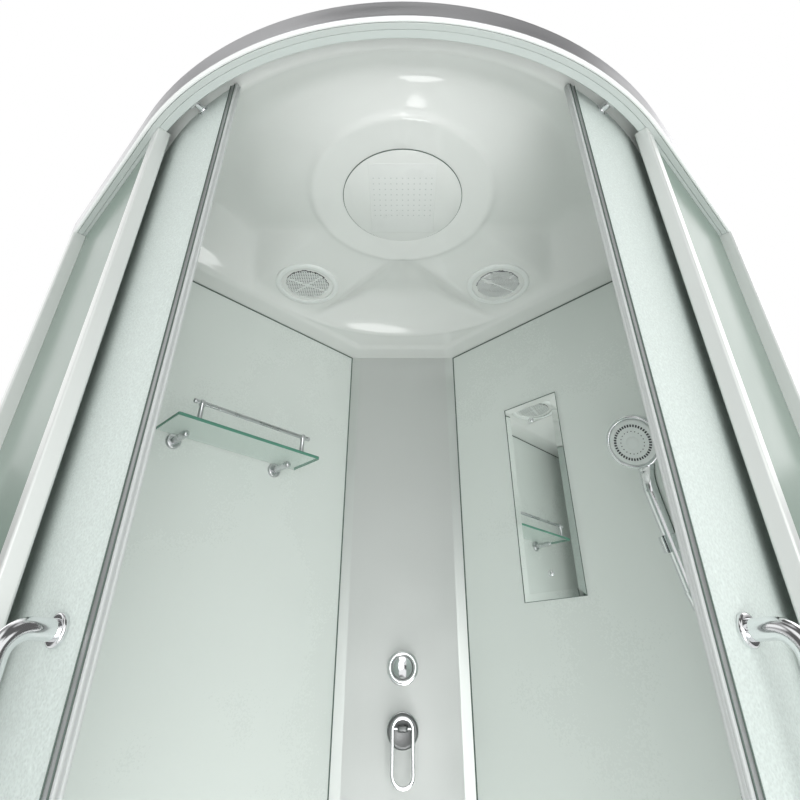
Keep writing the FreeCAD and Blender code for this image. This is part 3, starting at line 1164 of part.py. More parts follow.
def door(side):
    """One sliding door. Angles are from the front middle, to the right for side 1."""
    name = "right" if side > 0 else "left"
    inner = s.door_radius - s.glass_thickness / 2
    outer = s.door_radius + s.glass_thickness / 2
    height = door_top - door_bottom
    outer_seat = outer + s.running_gap

    def wall(depth, first, last, low=inner, high=outer):
        """A curved wall between two lengths from the door's leading edge."""
        begin = turn_of(first, s.door_radius) + s.door_open_angle
        sweep = turn_of(last - first, s.door_radius)
        start = -45 + begin if side > 0 else -45 - begin - sweep
        if depth is not None:
            low, high = s.door_radius - depth / 2, s.door_radius + depth / 2
        return sector(high, low, door_bottom, height, start, sweep)

    def at(length):
        """The frame of a place on the door: +X outward, +Z up, origin at the curve's centre."""
        angle = -45 + side * (s.door_open_angle + turn_of(length, s.door_radius))
        return turned(arc_x, arc_y, 0, angle)

    bar_start = s.edge_seal_width
    glass_start = bar_start + s.edge_bar_web
    glass_end = door_width - s.edge_seal_width
    places = [at(s.roller_inset), at(door_width - s.roller_inset)]
    grip = at(s.handle_inset)
    grip_heights = (s.handle_top, s.handle_top - s.handle_length)
    axle_high = rail_bottom + s.rail_plate + s.bead_height + s.running_gap + s.wheel_radius
    guide_low = lower_top - s.rail_plate - s.bead_height - s.running_gap - s.guide_radius
    deep, through = inner - s.overrun, s.glass_thickness + s.overrun * 2
    holes = [seated(rod(s.hanger_radius + s.slot_gap, through, deep, 0, z, "X"), frame)
             for frame in places for z in (axle_high, guide_low)]
    holes += [seated(rod(s.handle_bolt_radius + s.slot_gap, through, deep, 0, z, "X"), grip)
              for z in grip_heights]
    node(f"{name}_door_glass", cut(wall(None, glass_start, glass_end), *holes))
    bar = wall(s.edge_bar_depth, bar_start, bar_start + s.edge_bar_width)
    slot = wall(s.glass_thickness + s.slot_gap * 2, glass_start, bar_start + s.edge_bar_width)
    node(f"{name}_door_edge", cut(bar, slot))
    front_seal = wall(s.edge_seal_depth, 0, bar_start)
    rear_seal = wall(s.rear_seal_depth, glass_end, door_width)
    node(f"{name}_door_seals", group(front_seal, rear_seal))

    hangers = []
    for frame in places:
        cap_start = inner - sagitta(s.hanger_cap_radius, inner) - s.running_gap - s.hanger_cap_length
        for z, carried in ((axle_high, True), (guide_low, False)):
            pieces = [rod(s.hanger_cap_radius, s.hanger_cap_length, cap_start, 0, z, "X"),
                      rod(s.hanger_radius, s.wheel_start - s.running_gap - cap_start, cap_start, 0, z, "X"),
                      rod(s.hanger_washer_radius, s.hanger_cap_length, outer_seat, 0, z, "X")]
            if carried:
                end = s.wheel_end + s.running_gap
                pieces.append(rod(s.axle_radius, end - inner, inner, 0, z, "X"))
                pieces.append(rod(s.axle_head_radius, s.axle_head_length, end, 0, z, "X"))
            else:
                pieces.append(rod(s.guide_radius, s.wheel_end - s.wheel_start, s.wheel_start, 0, z, "X"))
                pieces.append(rod(s.hanger_radius, s.wheel_start - inner, inner, 0, z, "X"))
            hangers.append(seated(fuse(*pieces), frame))
    node(f"{name}_door_hangers", group(*hangers))

    width = s.wheel_end - s.wheel_start
    for word, frame in zip(("front", "rear"), places):
        tread = rod(s.wheel_radius, width, s.wheel_start, 0, axle_high, "X")
        flange = rod(s.wheel_flange_radius, s.wheel_flange_width, s.wheel_start, 0, axle_high, "X")
        bore = rod(s.axle_radius + s.axle_play, width, s.wheel_start, 0, axle_high, "X")
        node(f"{name}_{word}_wheel", cut(fuse(tread, flange), bore), frame)

    grips = []
    top, bottom = grip_heights
    inner_seat = inner - sagitta(s.rosette_radius, inner) - s.running_gap
    outer_grip, inner_grip = outer + s.handle_reach, inner - s.handle_inner_reach
    for start, axis, grip_at, reach, thick in (
            (inner_seat, "-X", inner_grip, inner_seat - inner_grip, s.handle_inner_radius),
            (outer_seat, "X", outer_grip, outer_grip - outer_seat, s.handle_radius)):
        for z in grip_heights:
            grips.append(rod(s.rosette_radius, s.rosette_height, start, 0, z, axis))
            grips.append(rod(thick, reach, start, 0, z, axis))
            grips.append(ball(thick, grip_at, 0, z))
        grips.append(rod(thick, top - bottom, grip_at, 0, bottom))
    bolts = [rod(s.handle_bolt_radius, outer_seat - inner_seat, inner_seat, 0, z, "X") for z in grip_heights]
    node(f"{name}_door_handle", fuse(*grips, *bolts), grip)



tray()
tray_frame()
apron()
drain()
rails()
posts()
walls()
column()
roof()
overhead_shower()
valves()
pipes()
grilles()
speaker()
fan()
shelf()
mirror()
hose_outlet()
hose()
hand_shower()
holder()
door(-1)
door(1)
doc.recompute()

for thing in doc.Objects:
    if "Invalid" in thing.State or "Error" in thing.State:
        raise RuntimeError(f"{thing.Name} ({thing.Label}) is {thing.State}")
for thing in NODES:
    if thing.Shape.isNull() or not thing.Shape.isValid() or not thing.Shape.Solids:
        raise RuntimeError(f"{thing.Label} has no valid solid")
os.makedirs("parts", exist_ok=True)
for thing in NODES:
    thing.Shape.exportStep(f"parts/{thing.Label}.step")
print(len(NODES), "nodes")
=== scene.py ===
"""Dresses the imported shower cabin: smooth moulded roof, bent handles, fittings, hose and finishes."""

import math

import bmesh
import bpy
from mathutils import Matrix, Vector


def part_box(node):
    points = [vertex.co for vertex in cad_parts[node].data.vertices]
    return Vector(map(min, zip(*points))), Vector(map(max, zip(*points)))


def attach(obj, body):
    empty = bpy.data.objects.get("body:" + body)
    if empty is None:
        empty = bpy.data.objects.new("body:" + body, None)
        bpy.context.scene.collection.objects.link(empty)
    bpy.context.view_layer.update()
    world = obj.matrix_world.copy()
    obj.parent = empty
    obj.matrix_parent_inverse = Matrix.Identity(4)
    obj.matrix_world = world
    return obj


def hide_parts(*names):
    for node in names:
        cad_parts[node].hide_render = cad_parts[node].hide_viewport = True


bl_info = {
    "name": "Shower Cabin",
    "version": (1, 0, 0),
    "blender": (4, 5, 0),
    "location": "3D View > Sidebar > Shower Cabin",
    "description": "Models the fittings and finishes of a quarter-round shower cabin round its frame",
    "category": "Add Mesh",
}

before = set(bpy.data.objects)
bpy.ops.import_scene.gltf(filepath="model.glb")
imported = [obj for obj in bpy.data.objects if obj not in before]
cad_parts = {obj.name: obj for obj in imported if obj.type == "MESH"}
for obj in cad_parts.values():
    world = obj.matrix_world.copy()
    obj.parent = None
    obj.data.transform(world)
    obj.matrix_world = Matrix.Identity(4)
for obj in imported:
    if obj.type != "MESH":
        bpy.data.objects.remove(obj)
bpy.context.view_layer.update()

# The cabin's plan, from the middle of its square. The walls meet at -X +Y.
HALF = 0.45
CORNER_RADIUS = 0.565
WALL_INNER = 0.432
COLUMN_DEPTH = 0.1335
WALL_CORNER = Vector((-WALL_INNER, WALL_INNER, 0))
CURVE_CENTRE = Vector((-0.115, 0.115, 0))
BOSS_CENTRE = Vector((0.048, -0.048, 0))
SPEAKER_CENTRE = Vector((-0.28, -0.02, 0))
FAN_CENTRE = Vector((0.02, 0.28, 0))

# Turns that several pieces share
UPRIGHT = Matrix.Rotation(math.radians(90), 4, "X")
SIDEWAYS = Matrix.Rotation(math.radians(90), 4, "Y")
DIAGONAL = Matrix.Rotation(math.radians(45), 4, "Z")

# The column's face has +X across it, +Y up and +Z into the room.
COLUMN_FACE = (Matrix.Translation(WALL_CORNER) @ DIAGONAL
               @ Matrix.Translation((0, -COLUMN_DEPTH, 0)) @ UPRIGHT)
MIXER_HEIGHT = 1.243
LEVER_HEIGHT = 1.248
LEVER_REACH = 0.0443
DIVERTER_HEIGHT = 1.347
OUTLET_HEIGHT = 1.01
OUTLET_REACH = 0.026
OUTLET_DROP = 0.025

# The hand shower's grip runs up its own +Z, and the head sits on its upper end.
GRIP_FOOT = (0.233, 0.382, 1.436)
GRIP_TURN = math.radians(-3.8)
GRIP_LEAN = math.radians(14.4)
HEAD_TILT = math.radians(12)
HEAD_ALONG = 0.233
HAND = (Matrix.Translation(GRIP_FOOT) @ Matrix.Rotation(GRIP_TURN, 4, "Y")
        @ Matrix.Rotation(GRIP_LEAN, 4, "X"))
HEAD = HAND @ Matrix.Translation((0, 0, HEAD_ALONG)) @ Matrix.Rotation(HEAD_TILT, 4, "X")
HOLDER_HEIGHT = 1.504
HOLDER_REACH = 0.03

# The doors. A length along a door starts at its leading edge.
DOORS = {"left": -1, "right": 1}
FRONT_MIDDLE = math.radians(-45)
DOOR_OPEN = math.radians(27.8)
GLASS_RADIUS = 0.516
GLASS_INNER = 0.5132
GLASS_OUTER = 0.5188
DOOR_WIDTH = 0.398
DOOR_RISE = (0.274, 2.072)
ROLLER_INSET = 0.07
AXLE_HEIGHT = 2.0628
GUIDE_HEIGHT = 0.2847
HANDLE_INSET = 0.054
HANDLE_RISE = (1.348, 1.123)

HOSE_ROUTE = [
    (-.3192, .3192, .985), (-.3192, .3192, .892), (-.3, .322, .795), (-.258, .329, .704),
    (-.198, .337, .632), (-.118, .346, .59), (-.032, .355, .592), (.048, .364, .64), (.112, .373, .722),
    (.16, .381, .83), (.195, .389, .95), (.218, .396, 1.08), (.232, .402, 1.207),
    (.2391, .4056, 1.3441), (.2304, .3721, 1.4747),
]

# The roof's underside: a flange along the walls, a dome with rounded corners, and a boss with two arms
FLANGE_HEIGHT = 2.072
CORNICE_REACH = 0.05
CORNICE_RISE = 0.004
CORNICE_WIDTH = 0.005
DOME_LOW = (-0.375, -0.393)
DOME_HIGH = (0.393, 0.375)
DOME_CORNERS = (0.09, 0.508, 0.09, 0.38)
DOME_EASE = 0.15
DOME_RISE = 0.056
GROOVE_DEPTH = 0.0015
GROOVE_WIDTH = 0.005
BOSS_HEIGHT = 2.081
BOSS_RADIUS = 0.163
BOSS_SLOPE_START = 0.168
BOSS_SLOPE = 0.3
RIDGE_START = 0.165
RIDGE_RISE = 0.0035
RIDGE_WIDTH = 0.007
RIM_DEPTH = 0.001
RIM_WIDTH = 0.003
ARM_SPAN = (-0.1, 0.06)
ARM_END = 0.04
ARM_HEIGHT = 2.085
ARM_SLOPE = 0.7
ROOF_INSET = 0.0045
PLATE_HOLE = 0.099
GRILLE_HOLE = 0.045

# The shower plate with its field of nozzles, and the round grilles
PLATE_GAP_RADIUS = 0.1081
FIELD_HALF = (0.059, 0.0815)
NOZZLE_GRID = (11, 8)
NOZZLE_PITCH = (0.0103, 0.0125)
NOZZLE_SHIFT = -0.006
GRILLE_RADIUS = 0.0568
LATTICE_REACH = 0.0455

# The photograph's view, and the lamps as place, aim, width and share of the key lamp's power
CAMERA_PLACE = (0.5527, -0.5527, 1.302)
CAMERA_TURN = (math.radians(121.055), 0, math.radians(45))
CAMERA_LENS = 24.86
CAMERA_SHIFT = (-0.00325, -0.04775)
FLOOR_SIZE = 14
FLOOR_HEIGHT = -0.0005
LAMPS = [
    ((1.45, -0.9, 1.15), (-0.2, 0.1, 1.7), 1.3, 1.2),
    ((0.85, -0.85, 0.35), (-0.1, 0.1, 2.0), 0.8, 0.37),
    ((0.15, 0.05, 0.7), (-0.45, -0.2, 1.55), 0.4, 0.15),
    ((-1.6, -1.0, 2.6), (0, 0, 1.2), 1.6, 0.25),
    ((1.0, 1.6, 2.6), (0, 0, 1.2), 1.6, 0.6),
]


class CabinSizes(bpy.types.PropertyGroup):
    """Sizes that shape the pieces."""

    handle_radius: bpy.props.FloatProperty(
        name="Handle tube", description="Radius of the door handles' tube",
        default=0.009, min=0.007, max=0.01, unit="LENGTH")
    handle_bend: bpy.props.FloatProperty(
        name="Handle bend", description="Radius of the handles' corners",
        default=0.022, min=0.01, max=0.03, unit="LENGTH")
    handle_reach: bpy.props.FloatProperty(
        name="Handle reach", description="Glass to the middle of the outer grip",
        default=0.042, unit="LENGTH")
    inner_radius: bpy.props.FloatProperty(
        name="Inner grip tube", description="Radius of the inner grip's tube",
        default=0.0065, min=0.004, max=0.008, unit="LENGTH")
    inner_reach: bpy.props.FloatProperty(
        name="Inner grip reach", description="Glass to the middle of the inner grip",
        default=0.0117, unit="LENGTH")
    roof_cell: bpy.props.IntProperty(
        name="Roof cells", description="Cells along each side of the roof", default=200, min=60, max=220)
    roof_round: bpy.props.FloatProperty(
        name="Roof rounding", description="How softly the roof's forms run together",
        default=0.012, min=0.002, max=0.03, unit="LENGTH")
    roof_skin: bpy.props.FloatProperty(
        name="Roof skin", description="Thickness of the roof", default=0.004, unit="LENGTH")
    hose_pitch: bpy.props.FloatProperty(
        name="Hose pitch", description="Distance between the turns of the hose's winding",
        default=0.0036, min=0.002, max=0.01, unit="LENGTH")


class CabinColours(bpy.types.PropertyGroup):
    """Colours of the finishes."""

    roof: bpy.props.FloatVectorProperty(
        name="Roof", description="Moulded roof and shower plate", subtype="COLOR", size=3,
        default=(0.83, 0.85, 0.825))
    wall: bpy.props.FloatVectorProperty(
        name="Walls", description="Glossy wall panels", subtype="COLOR", size=3,
        default=(0.79, 0.84, 0.805))
    column: bpy.props.FloatVectorProperty(
        name="Column", description="Painted column", subtype="COLOR", size=3,
        default=(0.58, 0.60, 0.585))
    rail: bpy.props.FloatVectorProperty(
        name="Rails", description="Aluminium rails", subtype="COLOR", size=3,
        default=(0.61, 0.61, 0.62))
    trim: bpy.props.FloatVectorProperty(
        name="Trims", description="Pale aluminium of trims and door edges", subtype="COLOR", size=3,
        default=(0.60, 0.63, 0.61))
    glass: bpy.props.FloatVectorProperty(
        name="Glass", description="Tint of the glass", subtype="COLOR", size=3,
        default=(0.86, 0.95, 0.91))


class StageSettings(bpy.types.PropertyGroup):
    """Light and backdrop."""

    sky: bpy.props.FloatProperty(
        name="Sky", description="Light from all round", default=1.0, min=0, max=2)
    key: bpy.props.FloatProperty(
        name="Key lamp", description="Large lamp behind the camera", default=10, min=0, unit="POWER")


def finish_of(name):
    return bpy.data.materials[name]


# Selecting and finishing

def at_rest():
    if bpy.context.object and bpy.context.object.mode != "OBJECT":
        bpy.ops.object.mode_set(mode="OBJECT")
    bpy.ops.object.select_all(action="DESELECT")


def pick(piece):
    at_rest()
    piece.hide_set(False)
    piece.select_set(True)
    bpy.context.view_layer.objects.active = piece


def join(pieces):
    pick(pieces[0])
    for piece in pieces:
        piece.select_set(True)
    if len(pieces) > 1:
        bpy.ops.object.join()
    return bpy.context.object


def settle(piece, place=None):
    """Puts the piece's place into its mesh."""
    pick(piece)
    if place is not None:
        piece.matrix_world = place @ piece.matrix_world
    bpy.ops.object.transform_apply(location=True, rotation=True, scale=True)
    return piece


def outward(piece):
    pick(piece)
    bpy.ops.object.mode_set(mode="EDIT")
    bpy.ops.mesh.select_all(action="SELECT")
    bpy.ops.mesh.remove_doubles(threshold=0.00001)
    bpy.ops.mesh.normals_make_consistent(inside=False)
    bpy.ops.object.mode_set(mode="OBJECT")


def smooth(piece, angle=40):
    pick(piece)
    bpy.ops.object.shade_smooth_by_angle(angle=math.radians(angle))


def soften(piece, width, segments):
    """Rounds the sharp edges."""
    pick(piece)
    bevel = piece.modifiers.new("edges", "BEVEL")
    bevel.width = width
    bevel.segments = segments
    bevel.limit_method = "ANGLE"
    bevel.angle_limit = math.radians(35)
    bpy.ops.object.modifier_apply(modifier=bevel.name)


def hand_over(piece, name, body, slot, finish, *nodes):
    """Names the finished piece, gives it its finish and lets it ride on its body."""
    piece.name = name
    piece.data.name = name
    piece.data.materials.clear()
    piece.data.materials.append(finish_of(finish))
    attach(piece, body)
    if nodes:
        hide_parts(*nodes)


# First shapes

def turned(profile, place=None, sides=64, angle=40):
    """A turned piece. The profile runs from its lower face to its upper face as (height, radius)."""
    at_rest()
    low, radius = profile[0]
    bpy.ops.mesh.primitive_circle_add(vertices=sides, radius=radius, fill_type="NGON", location=(0, 0, low))
    piece = bpy.context.object
    bpy.ops.object.transform_apply(location=True, rotation=True, scale=True)
    bpy.ops.object.mode_set(mode="EDIT")
    bpy.ops.mesh.select_all(action="SELECT")
    for (last, last_radius), (height, radius) in zip(profile, profile[1:]):
        bpy.ops.mesh.extrude_region_move(TRANSFORM_OT_translate={"value": (0, 0, height - last)})
        grow = radius / last_radius
        bpy.ops.transform.resize(value=(grow, grow, 1), center_override=(0, 0, height))
    bpy.ops.object.mode_set(mode="OBJECT")
    outward(piece)
    smooth(piece, angle)
    return settle(piece, place) if place is not None else piece


def slab(low, high, bevel=0.0, segments=2, place=None):
    """A plate or bar between two corners, with rounded edges."""
    at_rest()
    middle = [(a + b) / 2 for a, b in zip(low, high)]
    bpy.ops.mesh.primitive_cube_add(size=1, location=middle)
    piece = bpy.context.object
    piece.scale = [abs(b - a) for a, b in zip(low, high)]
    bpy.ops.object.transform_apply(location=True, rotation=True, scale=True)
    if bevel:
        soften(piece, bevel, segments)
    smooth(piece)
    return settle(piece, place) if place is not None else piece


def rounded_path(points, bend, steps=10):
    """The points of a path whose inner corners are rounded to one radius."""
    points = [Vector(point) for point in points]
    path = [points[0]]
    for before, point, after in zip(points, points[1:], points[2:]):
        back, ahead = (before - point).normalized(), (after - point).normalized()
        half = back.angle(ahead) / 2
        reach = bend / math.tan(half)
        centre = point + (back + ahead).normalized() * (bend / math.sin(half))
        start, end = point + back * reach - centre, point + ahead * reach - centre
        sweep = start.angle(end)
        axis = start.cross(end).normalized()
        turns = [Matrix.Rotation(sweep * step / steps, 3, axis) for step in range(steps + 1)]
        path += [centre + turn @ start for turn in turns]
    path.append(points[-1])
    return path


def tube(path, radius, place=None, sides=8):
    """A round tube along a path, closed at its ends."""
    at_rest()
    line = bpy.data.curves.new("tube", "CURVE")
    line.dimensions = "3D"
    line.bevel_depth = radius
    line.bevel_resolution = sides
    line.use_fill_caps = True
    spline = line.splines.new("POLY")
    spline.points.add(len(path) - 1)
    for knot, point in zip(spline.points, path):
        knot.co = (*point, 1)
    piece = bpy.data.objects.new("tube", line)
    bpy.context.collection.objects.link(piece)
    pick(piece)
    bpy.ops.object.convert(target="MESH")
    piece = bpy.context.object
    outward(piece)
    smooth(piece, 50)
    return settle(piece, place) if place is not None else piece


def flat_line(points, closed=False):
    """A curve object of straight runs."""
    line = bpy.data.curves.new("line", "CURVE")
    line.dimensions = "3D"
    line.twist_mode = "Z_UP"
    spline = line.splines.new("POLY")
    spline.points.add(len(points) - 1)
    spline.use_cyclic_u = closed
    for knot, point in zip(spline.points, points):
        knot.co = (point[0], point[1], point[2] if len(point) > 2 else 0, 1)
    holder = bpy.data.objects.new("line", line)
    bpy.context.collection.objects.link(holder)
    return holder


def swept(profile, path, place=None, closed=False):
    """A moulding. The profile gives how far left of the path and how high each point is."""
    at_rest()
    section = flat_line([(-left, up) for left, up in profile], closed=True)
    line = flat_line(path, closed)
    line.data.bevel_mode = "OBJECT"
    line.data.bevel_object = section
    line.data.use_fill_caps = True
    pick(line)
    bpy.ops.object.convert(target="MESH")
    piece = bpy.context.object
    bpy.data.objects.remove(section)
    outward(piece)
    smooth(piece, 30)
    return settle(piece, place) if place is not None else piece


def stadium(radius, low, high, steps=16):
    """The outline of a long loop along the Y axis, counterclockwise from the start of its upper end."""
    points = []
    for height, start in ((high - radius, 0.0), (low + radius, math.pi)):
        for step in range(steps + 1):
            turn = start + math.pi * step / steps
            points.append((radius * math.cos(turn), height + radius * math.sin(turn)))
    return points


def front_path(steps=48):
    """The outer edge of the cabin, from the left wall round the front to the right wall."""
    path = [(-HALF, -HALF)]
    for step in range(steps + 1):
        turn = math.radians(90) * (step / steps - 1)
        path.append((CURVE_CENTRE.x + CORNER_RADIUS * math.cos(turn),
                     CURVE_CENTRE.y + CORNER_RADIUS * math.sin(turn)))
    return path + [(HALF, HALF)]


def circle(radius, steps, way=1):
    """A closed path round the Z axis, counterclockwise unless way is -1."""
    turns = [way * math.tau * step / steps for step in range(steps)]
    return [(radius * math.cos(turn), radius * math.sin(turn)) for turn in turns]


def on_door(side, along, height=0.0):
    """A place on a door, with +X outward and +Z up."""
    turn = FRONT_MIDDLE + DOORS[side] * (DOOR_OPEN + along / GLASS_RADIUS)
    middle = Matrix.Translation(CURVE_CENTRE) @ Matrix.Rotation(turn, 4, "Z")
    return middle @ Matrix.Translation((0, 0, height))


def copies(piece, places):
    """One mesh of a piece that is repeated at several places."""
    twins = []
    for place in places:
        pick(piece)
        bpy.ops.object.duplicate()
        twins.append(settle(bpy.context.object, place))
    bpy.data.objects.remove(piece)
    return join(twins)


def bars(spans):
    """Bars between pairs of corners, as one mesh."""
    first = slab((-0.5, -0.5, -0.5), (0.5, 0.5, 0.5))
    places = []
    for low, high in spans:
        low, high = Vector(low), Vector(high)
        places.append(Matrix.Translation((low + high) / 2) @ Matrix.Diagonal((*(high - low), 1)))
    piece = copies(first, places)
    smooth(piece)
    return piece


def ball(radius, place):
    at_rest()
    bpy.ops.mesh.primitive_uv_sphere_add(segments=32, ring_count=16, radius=radius)
    piece = bpy.context.object
    smooth(piece, 180)
    return settle(piece, Matrix.Translation(place))


# Finishes

FINE_SHARE = 0.35
NOISE_LOW, NOISE_HIGH = 0.45, 0.9


def group_input(tree, name, default, kind="NodeSocketFloat"):
    socket = tree.interface.new_socket(name=name, in_out="INPUT", socket_type=kind)
    socket.default_value = default


def make_mottle_group():
    """Soft and fine unevenness that several finishes share."""
    tree = bpy.data.node_groups.new("Mottle", "ShaderNodeTree")
    tree.interface.new_socket(name="Value", in_out="OUTPUT", socket_type="NodeSocketFloat")
    tree.interface.new_socket(name="Height", in_out="OUTPUT", socket_type="NodeSocketFloat")
    for name, default in (("Coarse", 6.0), ("Fine", 400.0), ("Low", 0.2), ("High", 0.4)):
        group_input(tree, name, default)
    group_input(tree, "Stretch", (1, 1, 1), "NodeSocketVector")
    ends, starts = tree.nodes.new("NodeGroupOutput"), tree.nodes.new("NodeGroupInput")
    place, stretch = tree.nodes.new("ShaderNodeTexCoord"), tree.nodes.new("ShaderNodeVectorMath")
    stretch.operation = "MULTIPLY"
    tree.links.new(place.outputs["Object"], stretch.inputs[0])
    tree.links.new(starts.outputs["Stretch"], stretch.inputs[1])
    coarse, fine = tree.nodes.new("ShaderNodeTexNoise"), tree.nodes.new("ShaderNodeTexNoise")
    for noise, scale, detail in ((coarse, "Coarse", 3), (fine, "Fine", 2)):
        noise.inputs["Detail"].default_value = detail
        tree.links.new(stretch.outputs[0], noise.inputs["Vector"])
        tree.links.new(starts.outputs[scale], noise.inputs["Scale"])
    blend = tree.nodes.new("ShaderNodeMath")
    blend.operation = "MULTIPLY_ADD"
    blend.inputs[1].default_value = FINE_SHARE
    tree.links.new(fine.outputs["Fac"], blend.inputs[0])
    tree.links.new(coarse.outputs["Fac"], blend.inputs[2])
    spread = tree.nodes.new("ShaderNodeMapRange")
    spread.inputs["From Min"].default_value = NOISE_LOW
    spread.inputs["From Max"].default_value = NOISE_HIGH
    tree.links.new(blend.outputs[0], spread.inputs["Value"])
    tree.links.new(starts.outputs["Low"], spread.inputs["To Min"])
    tree.links.new(starts.outputs["High"], spread.inputs["To Max"])
    tree.links.new(spread.outputs["Result"], ends.inputs["Value"])
    tree.links.new(fine.outputs["Fac"], ends.inputs["Height"])


def make_pebble_group():
    """The pressed texture of frosted glass."""
    tree = bpy.data.node_groups.new("Pebble", "ShaderNodeTree")
    tree.interface.new_socket(name="Height", in_out="OUTPUT", socket_type="NodeSocketFloat")
    group_input(tree, "Size", 300.0)
    group_input(tree, "Mix", 0.5)
    ends, starts = tree.nodes.new("NodeGroupOutput"), tree.nodes.new("NodeGroupInput")
    place = tree.nodes.new("ShaderNodeTexCoord")
    cells, noise = tree.nodes.new("ShaderNodeTexVoronoi"), tree.nodes.new("ShaderNodeTexNoise")
    cells.feature = "SMOOTH_F1"
    cells.inputs["Smoothness"].default_value = 0.8
    noise.inputs["Detail"].default_value = 2
    for texture in (cells, noise):
        tree.links.new(place.outputs["Object"], texture.inputs["Vector"])
        tree.links.new(starts.outputs["Size"], texture.inputs["Scale"])
    both = tree.nodes.new("ShaderNodeMix")
    tree.links.new(starts.outputs["Mix"], both.inputs[0])
    tree.links.new(cells.outputs["Distance"], both.inputs[2])
    tree.links.new(noise.outputs["Fac"], both.inputs[3])
    tree.links.new(both.outputs[0], ends.inputs["Height"])


def finish(name, colour, mottle=None, stretch=None, tint=None, pebble=None, bump=0.0, roughness=0.4,
           metallic=0.0, **more):
    """
    A material. mottle holds the scales of the coarse and the fine noise, then the lowest and the highest
    roughness. pebble holds the texture's size and mix. tint is the colour's other end.
    """
    material = bpy.data.materials.new(name)
    material.use_nodes = True
    tree = material.node_tree
    shader = tree.nodes["Principled BSDF"]
    shader.inputs["Base Color"].default_value = (*colour, 1)
    shader.inputs["Roughness"].default_value = roughness
    shader.inputs["Metallic"].default_value = metallic
    for socket, value in more.items():
        shader.inputs[socket.replace("_", " ")].default_value = value
    height = None
    for kind, sockets, values in (("Mottle", ("Coarse", "Fine", "Low", "High"), mottle),
                                  ("Pebble", ("Size", "Mix"), pebble)):
        if values:
            group = tree.nodes.new("ShaderNodeGroup")
            group.node_tree = bpy.data.node_groups[kind]
            for socket, value in zip(sockets, values):
                group.inputs[socket].default_value = value
            height = group.outputs["Height"]
            if kind == "Mottle":
                tree.links.new(group.outputs["Value"], shader.inputs["Roughness"])
                if stretch:
                    group.inputs["Stretch"].default_value = stretch
    if tint and height:
        mix = tree.nodes.new("ShaderNodeMix")
        mix.data_type = "RGBA"
        mix.inputs["A"].default_value = (*colour, 1)
        mix.inputs["B"].default_value = (*tint, 1)
        tree.links.new(height, mix.inputs["Factor"])
        tree.links.new(mix.outputs["Result"], shader.inputs["Base Color"])
    if bump and height:
        node = tree.nodes.new("ShaderNodeBump")
        node.inputs["Strength"].default_value = 1.0
        node.inputs["Distance"].default_value = bump
        tree.links.new(height, node.inputs["Height"])
        tree.links.new(node.outputs["Normal"], shader.inputs["Normal"])
    return material


def shade(colour, share):
    return [part * share for part in colour]


# Stretches and unevenness that several finishes share
ALONG_BAR = (1, 1, 0.02)
ACROSS_RAIL = (1, 1, 14)
BRUSHED = (9, 500, 0.25, 0.4)
MOULDED = (15, 900, 0.4, 0.6)


def acrylic_finishes(colours):
    finish("roof acrylic", colours.roof, (5, 900, 0.06, 0.16), tint=shade(colours.roof, 0.97), bump=0.00001,
           Coat_Weight=0.6, Coat_Roughness=0.04)
    finish("tray acrylic", (0.80, 0.81, 0.80), (5, 700, 0.08, 0.2), tint=(0.78, 0.79, 0.78), bump=0.00001,
           Coat_Weight=0.5, Coat_Roughness=0.05)
    finish("plate acrylic", colours.roof, (12, 900, 0.1, 0.22), tint=shade(colours.roof, 0.98), bump=0.00001,
           Coat_Weight=0.4, Coat_Roughness=0.06)
    finish("wall panel", colours.wall, (3, 300, 0.22, 0.34), tint=shade(colours.wall, 0.985),
           Coat_Weight=0.35, Coat_Roughness=0.12)


def aluminium_finishes(colours):
    finish("column paint", colours.column, (8, 1500, 0.38, 0.5), tint=shade(colours.column, 1.05),
           metallic=0.25, bump=0.00002)
    finish("rail aluminium", colours.rail, (6, 220, 0.28, 0.42), ACROSS_RAIL, tint=shade(colours.rail, 1.18),
           metallic=0.9, bump=0.00001)
    finish("pale aluminium", colours.trim, BRUSHED, ALONG_BAR, tint=shade(colours.trim, 1.04), metallic=0.75,
           bump=0.000008)
    finish("edge aluminium", (0.46, 0.47, 0.47), BRUSHED, ALONG_BAR, metallic=0.8, bump=0.000008)
    finish("jamb aluminium", (0.68, 0.705, 0.685), BRUSHED, ALONG_BAR, metallic=0.3, bump=0.000008)
    finish("pale band", (0.58, 0.63, 0.605), BRUSHED, bump=0.00001)
    # A near-white finish for the rail's rounded lower edge: a painted highlight along the aluminium.
    finish("painted edge highlight", (0.86, 0.89, 0.87), (9, 500, 0.2, 0.3))
    finish("track paint", (0.60, 0.655, 0.63), (9, 500, 0.3, 0.45), bump=0.00001)


def metal_finishes():
    finish("chrome", (0.80, 0.81, 0.82), (30, 300, 0.03, 0.10), metallic=1.0)
    finish("satin chrome", (0.62, 0.63, 0.64), (30, 1200, 0.22, 0.34), metallic=1.0, bump=0.00001)
    finish("dark chrome", (0.21, 0.215, 0.215), (30, 600, 0.32, 0.46), metallic=1.0, bump=0.000006)
    finish("hose metal", (0.42, 0.43, 0.44), (50, 700, 0.15, 0.3), metallic=1.0)
    finish("mirror silver", (0.96, 0.98, 0.97), (20, 90, 0.0, 0.02), metallic=1.0)
    finish("painted steel", (0.30, 0.31, 0.32), MOULDED, bump=0.00004)
    finish("zinc steel", (0.50, 0.51, 0.52), (40, 250, 0.3, 0.5), tint=(0.40, 0.41, 0.42), metallic=0.9,
           bump=0.00002)
    finish("brass", (0.72, 0.52, 0.25), (25, 300, 0.25, 0.45), tint=(0.6, 0.42, 0.2), metallic=1.0,
           bump=0.00002)


